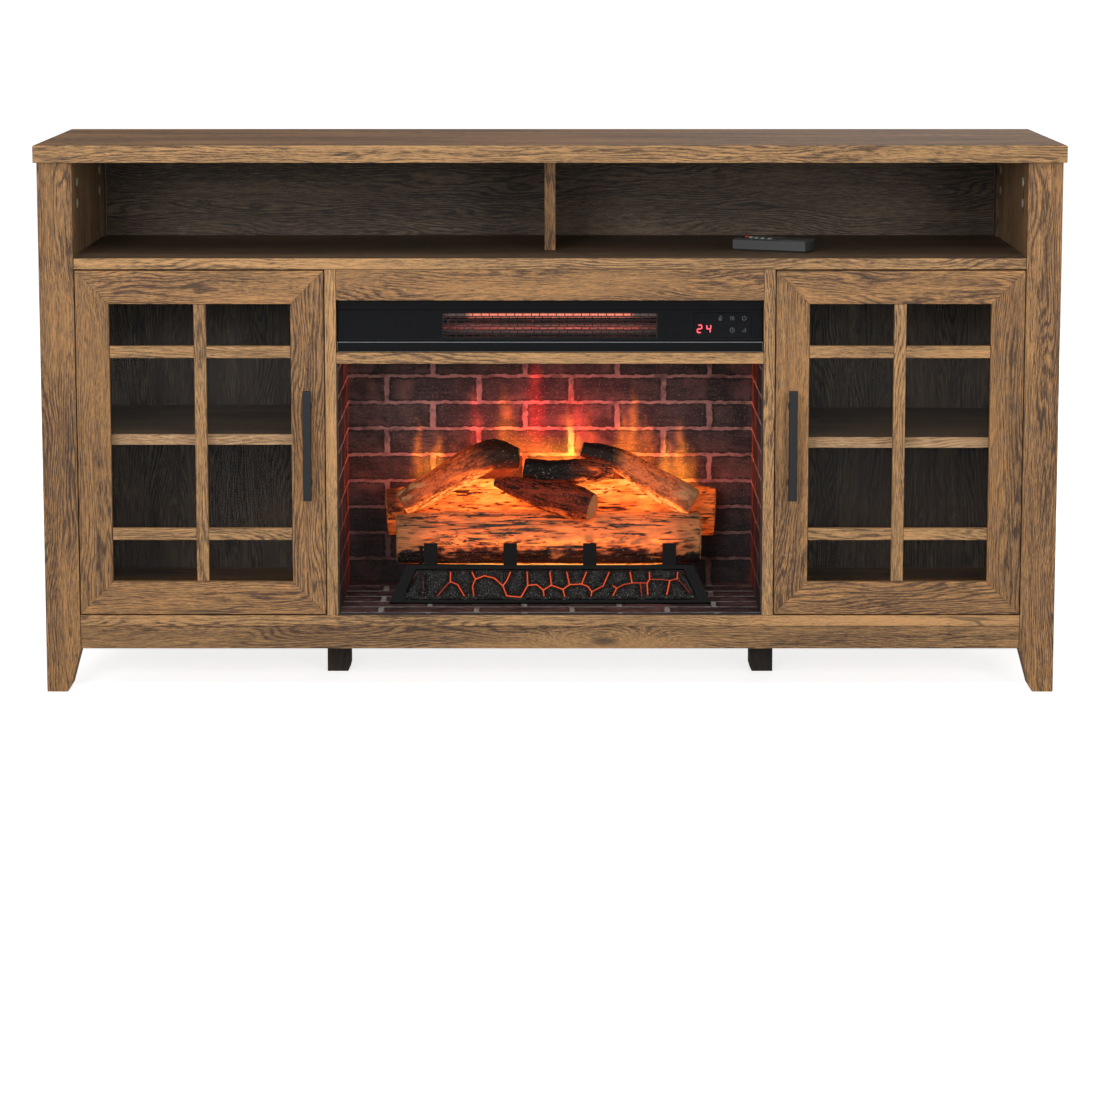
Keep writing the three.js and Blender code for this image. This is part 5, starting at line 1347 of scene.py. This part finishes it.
# %% Coal bed
BED_FOOT = Vector((0, -110.5 * MM, 119.1 * MM))
BED_RISE, BED_RUN = 49, 40     # mm, from its foot to its top
BED_TURN = math.atan2(BED_RISE, BED_RUN)
BED_LENGTH = math.hypot(BED_RISE, BED_RUN)
FOOT_WIDTH, TOP_WIDTH = 476, 427           # mm, of the frame round the bed
FOOT_INSET, TOP_INSET, SIDE_INSET = 4.3, 7.3, 17.4     # mm, from the frame's outline to the bed's edge
COLUMNS, ROWS = 340, 52        # squares of the bed's grid
COAL_HALF, COAL_RISE = 12, 9.0             # mm, from a groove to a coal's crown, across and up
GROOVE_FLOOR = -3.0            # mm
EDGE_ROUND = 7                 # mm
GLOW_HALF = 0.9                # mm
# strength of the glow, and the points (across, up the slope) of each groove, in mm
GROOVES = [
    (1, [(-148, 52), (-148, 36)]), (0.6, [(-148, 36), (-153, 31), (-167, 12)]),
    (0.9, [(-148, 36), (-137, 31), (-127, 12)]), (1, [(-116, 52), (-111, 40)]),
    (0.9, [(-111, 40), (-115, 29), (-113, 12)]), (1, [(-111, 40), (-98, 46), (-83, 42), (-70, 29)]),
    (1, [(-59, 52), (-64, 38), (-70, 29)]), (1, [(-70, 29), (-64, 12), (-43, 10), (-33, 30)]),
    (1, [(-34, 52), (-33, 30)]), (1, [(-33, 30), (-20, 31), (-10, 22), (-9, 12)]),
    (1, [(0, 52), (2, 30)]), (1, [(-10, 22), (2, 30), (19, 23), (22, 11)]), (1, [(25, 52), (29, 31)]),
    (1, [(19, 23), (29, 31), (47, 32)]), (1, [(54, 52), (47, 32)]),
    (1, [(47, 32), (56, 28), (62, 19), (61, 12)]), (0.8, [(62, 19), (79, 29)]),
    (0.9, [(88, 52), (79, 29)]), (0.9, [(93, 29), (99, 25), (93, 12)]),
    (0.7, [(99, 25), (109, 31), (122, 34)]), (1, [(119, 52), (122, 34)]),
    (0.7, [(122, 34), (134, 34), (143, 34)]), (0.6, [(134, 34), (136, 12)]),
    (1, [(148, 52), (148, 40), (144, 33), (145, 14)]), (0.6, [(148, 40), (164, 40), (178, 38)]),
    (1, [(178, 38), (173, 14)]), (0.7, [(178, 38), (189, 41)]), (0.9, [(190, 52), (189, 41)]),
    (0.5, [(189, 41), (198, 31), (207, 17)]), (0.3, [(-188, 42), (-189, 12)]),
    (0.35, [(-196, 51), (-204, 43), (-208, 33)]), (0.4, [(198, 52), (208, 45)]),
]


def groove_field(points):
    """For each point of the bed: its distance to the nearest groove, and the glow there."""
    nearest = np.full(len(points), 1e9)
    glow = np.zeros(len(points))
    for strength, line in GROOVES:
        for start, end in zip(line, line[1:]):
            start, way = np.array(start, float), np.array(end, float) - np.array(start, float)
            share = np.clip(((points - start) @ way) / (way @ way), 0, 1)
            distance = np.linalg.norm(points - start - share[:, None] * way, axis=1)
            nearest = np.minimum(nearest, distance)
            glow = np.maximum(glow, strength * np.exp(-(distance / GLOW_HALF) ** 2))
    return nearest, glow


def coal_bed():
    """The bed of coals, laid on the grate's sloping frame."""
    low, high = FOOT_INSET, BED_LENGTH - TOP_INSET
    bpy.ops.object.select_all(action="DESELECT")
    bpy.ops.mesh.primitive_grid_add(x_subdivisions=COLUMNS, y_subdivisions=ROWS, size=2)
    made = bpy.context.object
    made.name = made.data.name = "coal_bed"
    mesh = made.data
    shares = np.array([vertex.co[:2] for vertex in mesh.vertices])
    up = low + (shares[:, 1] + 1) / 2 * (high - low)
    half = (FOOT_WIDTH + (TOP_WIDTH - FOOT_WIDTH) * up / BED_LENGTH) / 2 - SIDE_INSET
    across = shares[:, 0] * half
    nearest, glow = groove_field(np.column_stack([across, up]))
    dome = 1 - (1 - np.clip(nearest / COAL_HALF, 0, 1)) ** 2
    edge = np.minimum(np.minimum(up - low, high - up), half - abs(across))
    edge = np.clip(edge / EDGE_ROUND, 0, 1) ** 0.5
    glow *= np.clip((high - 0.5 - up) / 2, 0.0, 1)
    grit = np.array([shape_noise.fractal(Vector((x / 2.4, y / 2.4, 0)), 0.8, 2, 3)
                     for x, y in zip(across, up)])
    lump = np.array([shape_noise.noise(Vector((x / 9, y / 9, 4))) for x, y in zip(across, up)])
    rise = GROOVE_FLOOR + edge * (
        dome * COAL_RISE + 0.5 * grit * np.minimum(nearest / 2, 1) + 0.8 * lump * dome)
    for vertex, x, y, z in zip(mesh.vertices, across, up, rise):
        vertex.co = (x * MM, y * MM, z * MM)
    set_values(made, "glow", glow)
    set_values(made, "grit", np.clip(0.5 + grit, 0, 1))
    finish_with(made, "SOLIDIFY", thickness=2.0 * MM, offset=-1)
    made.rotation_euler = (BED_TURN, 0, 0)
    made.location = BED_FOOT
    settle(made)
    bpy.ops.object.shade_smooth()
    coal, tree, shader = new_finish("painted_coal", Roughness=0.5, **{
        "Specular IOR Level": 0.12, "Emission Strength": 1.1})
    grit_value, glow_value = (add_node(tree, "Attribute", attribute_name=key).outputs["Fac"]
                              for key in ("grit", "glow"))
    colour = add_node(tree, "Mix", {0: grit_value, 6: srgb("030303"), 7: srgb("1C1B1A")}, data_type="RGBA")
    fine = add_node(tree, "TexNoise", {"Vector": place_in_mm(tree), "Scale": 0.8, "Detail": 3.0})
    # sparse pale specks are painted glints, highlights on the coals' crowns
    painted_glint_specks = add_node(tree, "MapRange", [fine, 0.62, 0.7])
    colour = add_node(tree, "Mix", {0: painted_glint_specks, 6: colour, 7: srgb("8A8680")}, data_type="RGBA")
    bump = add_node(tree, "Bump", {"Height": fine, "Distance": 0.8 * MM})
    heat = heat_colour(tree, glow_value, "FF7430", ((0.3, "2E0A04"), (0.65, "D8400F")))
    join_up(tree, shader, Base_Color=colour, Normal=bump, Emission_Color=heat)
    dress(made, coal, "stand")
    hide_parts("ember_bed")
    print("coal bed", len(mesh.vertices), "points")


coal_bed()
dress_node("log_grate", CAST_BLACK)

# %% [markdown]
# A strip of warm lamps lies under the logs, and the flame rotor turns in front of it. Both
# are hidden, and what shows is their light, in the notches, on the wall and in the slits.
# So small lamps without a body stand there, which neither the camera nor gloss can see.

# %% Lamps in the firebox
LAMP_BOARD = grained("lamp_board", "D9D4C4", "C9C2AE", 1.0, 0.01, 0.5, **{
    "Emission Color": srgb("FFB050"), "Emission Strength": 1.2})
dress_node("led_strip", LAMP_BOARD)
dress_node("flame_rotor", ZINC)
# name, places across, depth and height, power, radius and colour of each row of lamps
FIRE_LAMPS = [
    ("log", (-120, -60, 60, 120), -14, 256, 0.05, 12, "FF8A3C"),
    ("notch", (-92, 74), 6, 292, 0.06, 8, "FF9A3C"),
    ("wall", (-150, -50, 50, 150), 56, 292, 0.05, 10, "FF8A3C"),
    ("slit", (-150, -60, 60, 150), -40, 140, 0.05, 5, "FFB050"),
]
for name, row, depth, height, watts, radius, colour in FIRE_LAMPS:
    for across in row:
        warm_lamp(f"{name}_lamp_{across + 200}", (across, depth, height), watts, radius, colour)
print("fire lamps", sum(len(row) for name, row, *rest in FIRE_LAMPS))

# %% [markdown]
# The remote is a charcoal ABS moulding in two halves, 120 by 45 by 18 mm, with a sunk
# matte face panel, a smooth battery cover on its near end and five rubber keys. Its case
# is a copy of the CAD solid, laid straight and merged. The parting line and the cover's
# line are real grooves: two cuts close together, with the strip between them pressed in.

# %% Remote case
REMOTE_MIDDLE = Vector((330 * MM, -60.5 * MM, 637.3 * MM))
REMOTE_TURN = -24              # degrees
REMOTE_LENGTH, REMOTE_WIDTH, REMOTE_HEIGHT = 120 * MM, 45 * MM, 18 * MM
PANEL_HEIGHT = REMOTE_HEIGHT - 0.5 * MM
COVER_LINE = 18.6 * MM         # from the middle, along the case
PARTING_LINE = 8 * MM
LINE_HALF = 0.25 * MM
STROKE_HEIGHT = 0.16 * MM      # of the printed marks
remote_place = Matrix.Translation(REMOTE_MIDDLE) @ Matrix.Rotation(math.radians(REMOTE_TURN), 4, "Z")

SHELL = grained("charcoal_abs", "313232", "3A3B3A", 0.7, 0.03, 0.42)
PANEL_MATTE = grained("matte_face_panel", "2C2D2D", "4A4B49", 0.5, 0.06, 0.62)
COVER_SATIN = grained("satin_battery_cover", "3C3F3D", "424543", 3.0, 0.01, 0.36)
GREY_RUBBER = grained("grey_rubber", "8E9490", "9CA29D", 0.6, 0.02, 0.7)
RED_RUBBER = grained("red_rubber", "C92A1C", "DA3424", 0.6, 0.02, 0.6)
WHITE_PRINT = grained("white_print", "CFCFCA", "DADAD6", 0.6, 0.01, 0.6)
RED_PRINT = grained("red_print", "B83A34", "C8423A", 0.6, 0.01, 0.6)
GROOVE_PAINTED_SHADE = grained("groove_painted_shade", "121313", "191A1A", 0.6, 0.01, 0.6)


def press_line(piece, axis, middle, depth, wanted):
    """Presses a thin line into a piece, across one axis, on the faces that the test wants."""
    normal = [float(place == axis) for place in range(3)]
    for edge in (-LINE_HALF, LINE_HALF):
        cut_plane(piece, [middle + edge if place == axis else 0 for place in range(3)], normal)
    select_faces(piece, lambda face: abs(face.center[axis] - middle) < LINE_HALF and wanted(face))
    bpy.ops.mesh.extrude_region_shrink_fatten(TRANSFORM_OT_shrink_fatten={"value": -depth})
    bpy.ops.object.mode_set(mode="OBJECT")


def remote_case():
    """The remote's two half shells with their parting line, and the battery cover's line."""
    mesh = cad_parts["remote_case"].data.copy()
    made = bpy.data.objects.new("remote_shell", mesh)
    mesh.name = made.name
    bpy.context.scene.collection.objects.link(made)
    made.matrix_world = remote_place.inverted()
    settle(made)
    bpy.ops.object.mode_set(mode="EDIT")
    bpy.ops.mesh.select_all(action="SELECT")
    bpy.ops.mesh.remove_doubles(threshold=0.01 * MM)
    bpy.ops.mesh.dissolve_limited(angle_limit=math.radians(1))
    bpy.ops.object.mode_set(mode="OBJECT")
    press_line(made, 2, PARTING_LINE, 0.4 * MM, lambda face: abs(face.normal.z) < 0.3)
    press_line(made, 0, COVER_LINE, 0.35 * MM, lambda face: face.normal.z > 0.3)
    ease_edges(made, 0.2 * MM, 2, 25)
    dress(made, SHELL, "remote")
    for material in (PANEL_MATTE, COVER_SATIN):
        made.data.materials.append(material)
    for polygon in made.data.polygons:
        if polygon.normal.z > 0.9 and abs(polygon.center.z - PANEL_HEIGHT) < 0.1 * MM:
            polygon.material_index = 1
        elif polygon.normal.z > 0.3 and polygon.center.x > COVER_LINE:
            polygon.material_index = 2
    made.matrix_world = remote_place
    settle(made)
    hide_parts("remote_case")
    print("remote case", len(made.data.polygons), "faces")


remote_case()

# %% [markdown]
# The five keys keep their CAD shapes, one red and four grey. The prints on the panel are ink, a tenth of a
# millimetre or two high. Each mark is a raised stroke ahead of its key. Two dark strokes along the panel's
# upper corner are painted shade for the grooves there.

# %% Remote keys and prints
def on_remote(along, across):
    """A place on the remote, in its own frame, from shares of its length and width."""
    return (along - 0.5) * REMOTE_LENGTH, (0.5 - across) * REMOTE_WIDTH


def lay_on_remote(made, name, material, x=0, y=0, turn=0, height=PANEL_HEIGHT):
    """Puts a stroke mark on the remote's upper side."""
    made.matrix_world = (remote_place @ Matrix.Translation((x, y, height))
                         @ Matrix.Rotation(math.radians(turn), 4, "Z"))
    settle(made)
    made.name = made.data.name = name
    dress(made, material, "remote")


KEYS = {"power": (0.118, 0.28), "flame": (0.205, 0.52), "heat": (0.296, 0.675), "timer": (0.387, 0.755),
        "level": (0.482, 0.8)}
MARK_AHEAD = 6.6 * MM
for key, share in KEYS.items():
    red = key == "power"
    dress_node(f"remote_{key}_key", RED_RUBBER if red else GREY_RUBBER, 0.5 * MM)
    x, y = on_remote(*share)
    lay_on_remote(line_mark(key, 3.4 * MM, 0.4 * MM, STROKE_HEIGHT), f"remote_{key}_mark",
                  RED_PRINT if red else WHITE_PRINT, x + MARK_AHEAD, y - 0.8 * MM, 90)
# two dark lines beside the panel, painted shade for its grooves, in shares of the remote's length and width
MARKS["panel_lines"] = [[on_remote(*share) for share in line] for line in (
    [(0.052, 0.437), (0.085, 0.56), (0.124, 0.664), (0.187, 0.805), (0.249, 0.896)],
    [(0.04, 0.868), (0.249, 0.896)])]
lay_on_remote(line_mark("panel_lines", 1, 0.6 * MM, STROKE_HEIGHT), "remote_panel_lines", GROOVE_PAINTED_SHADE,
              height=REMOTE_HEIGHT)
print("remote keys", len(KEYS))
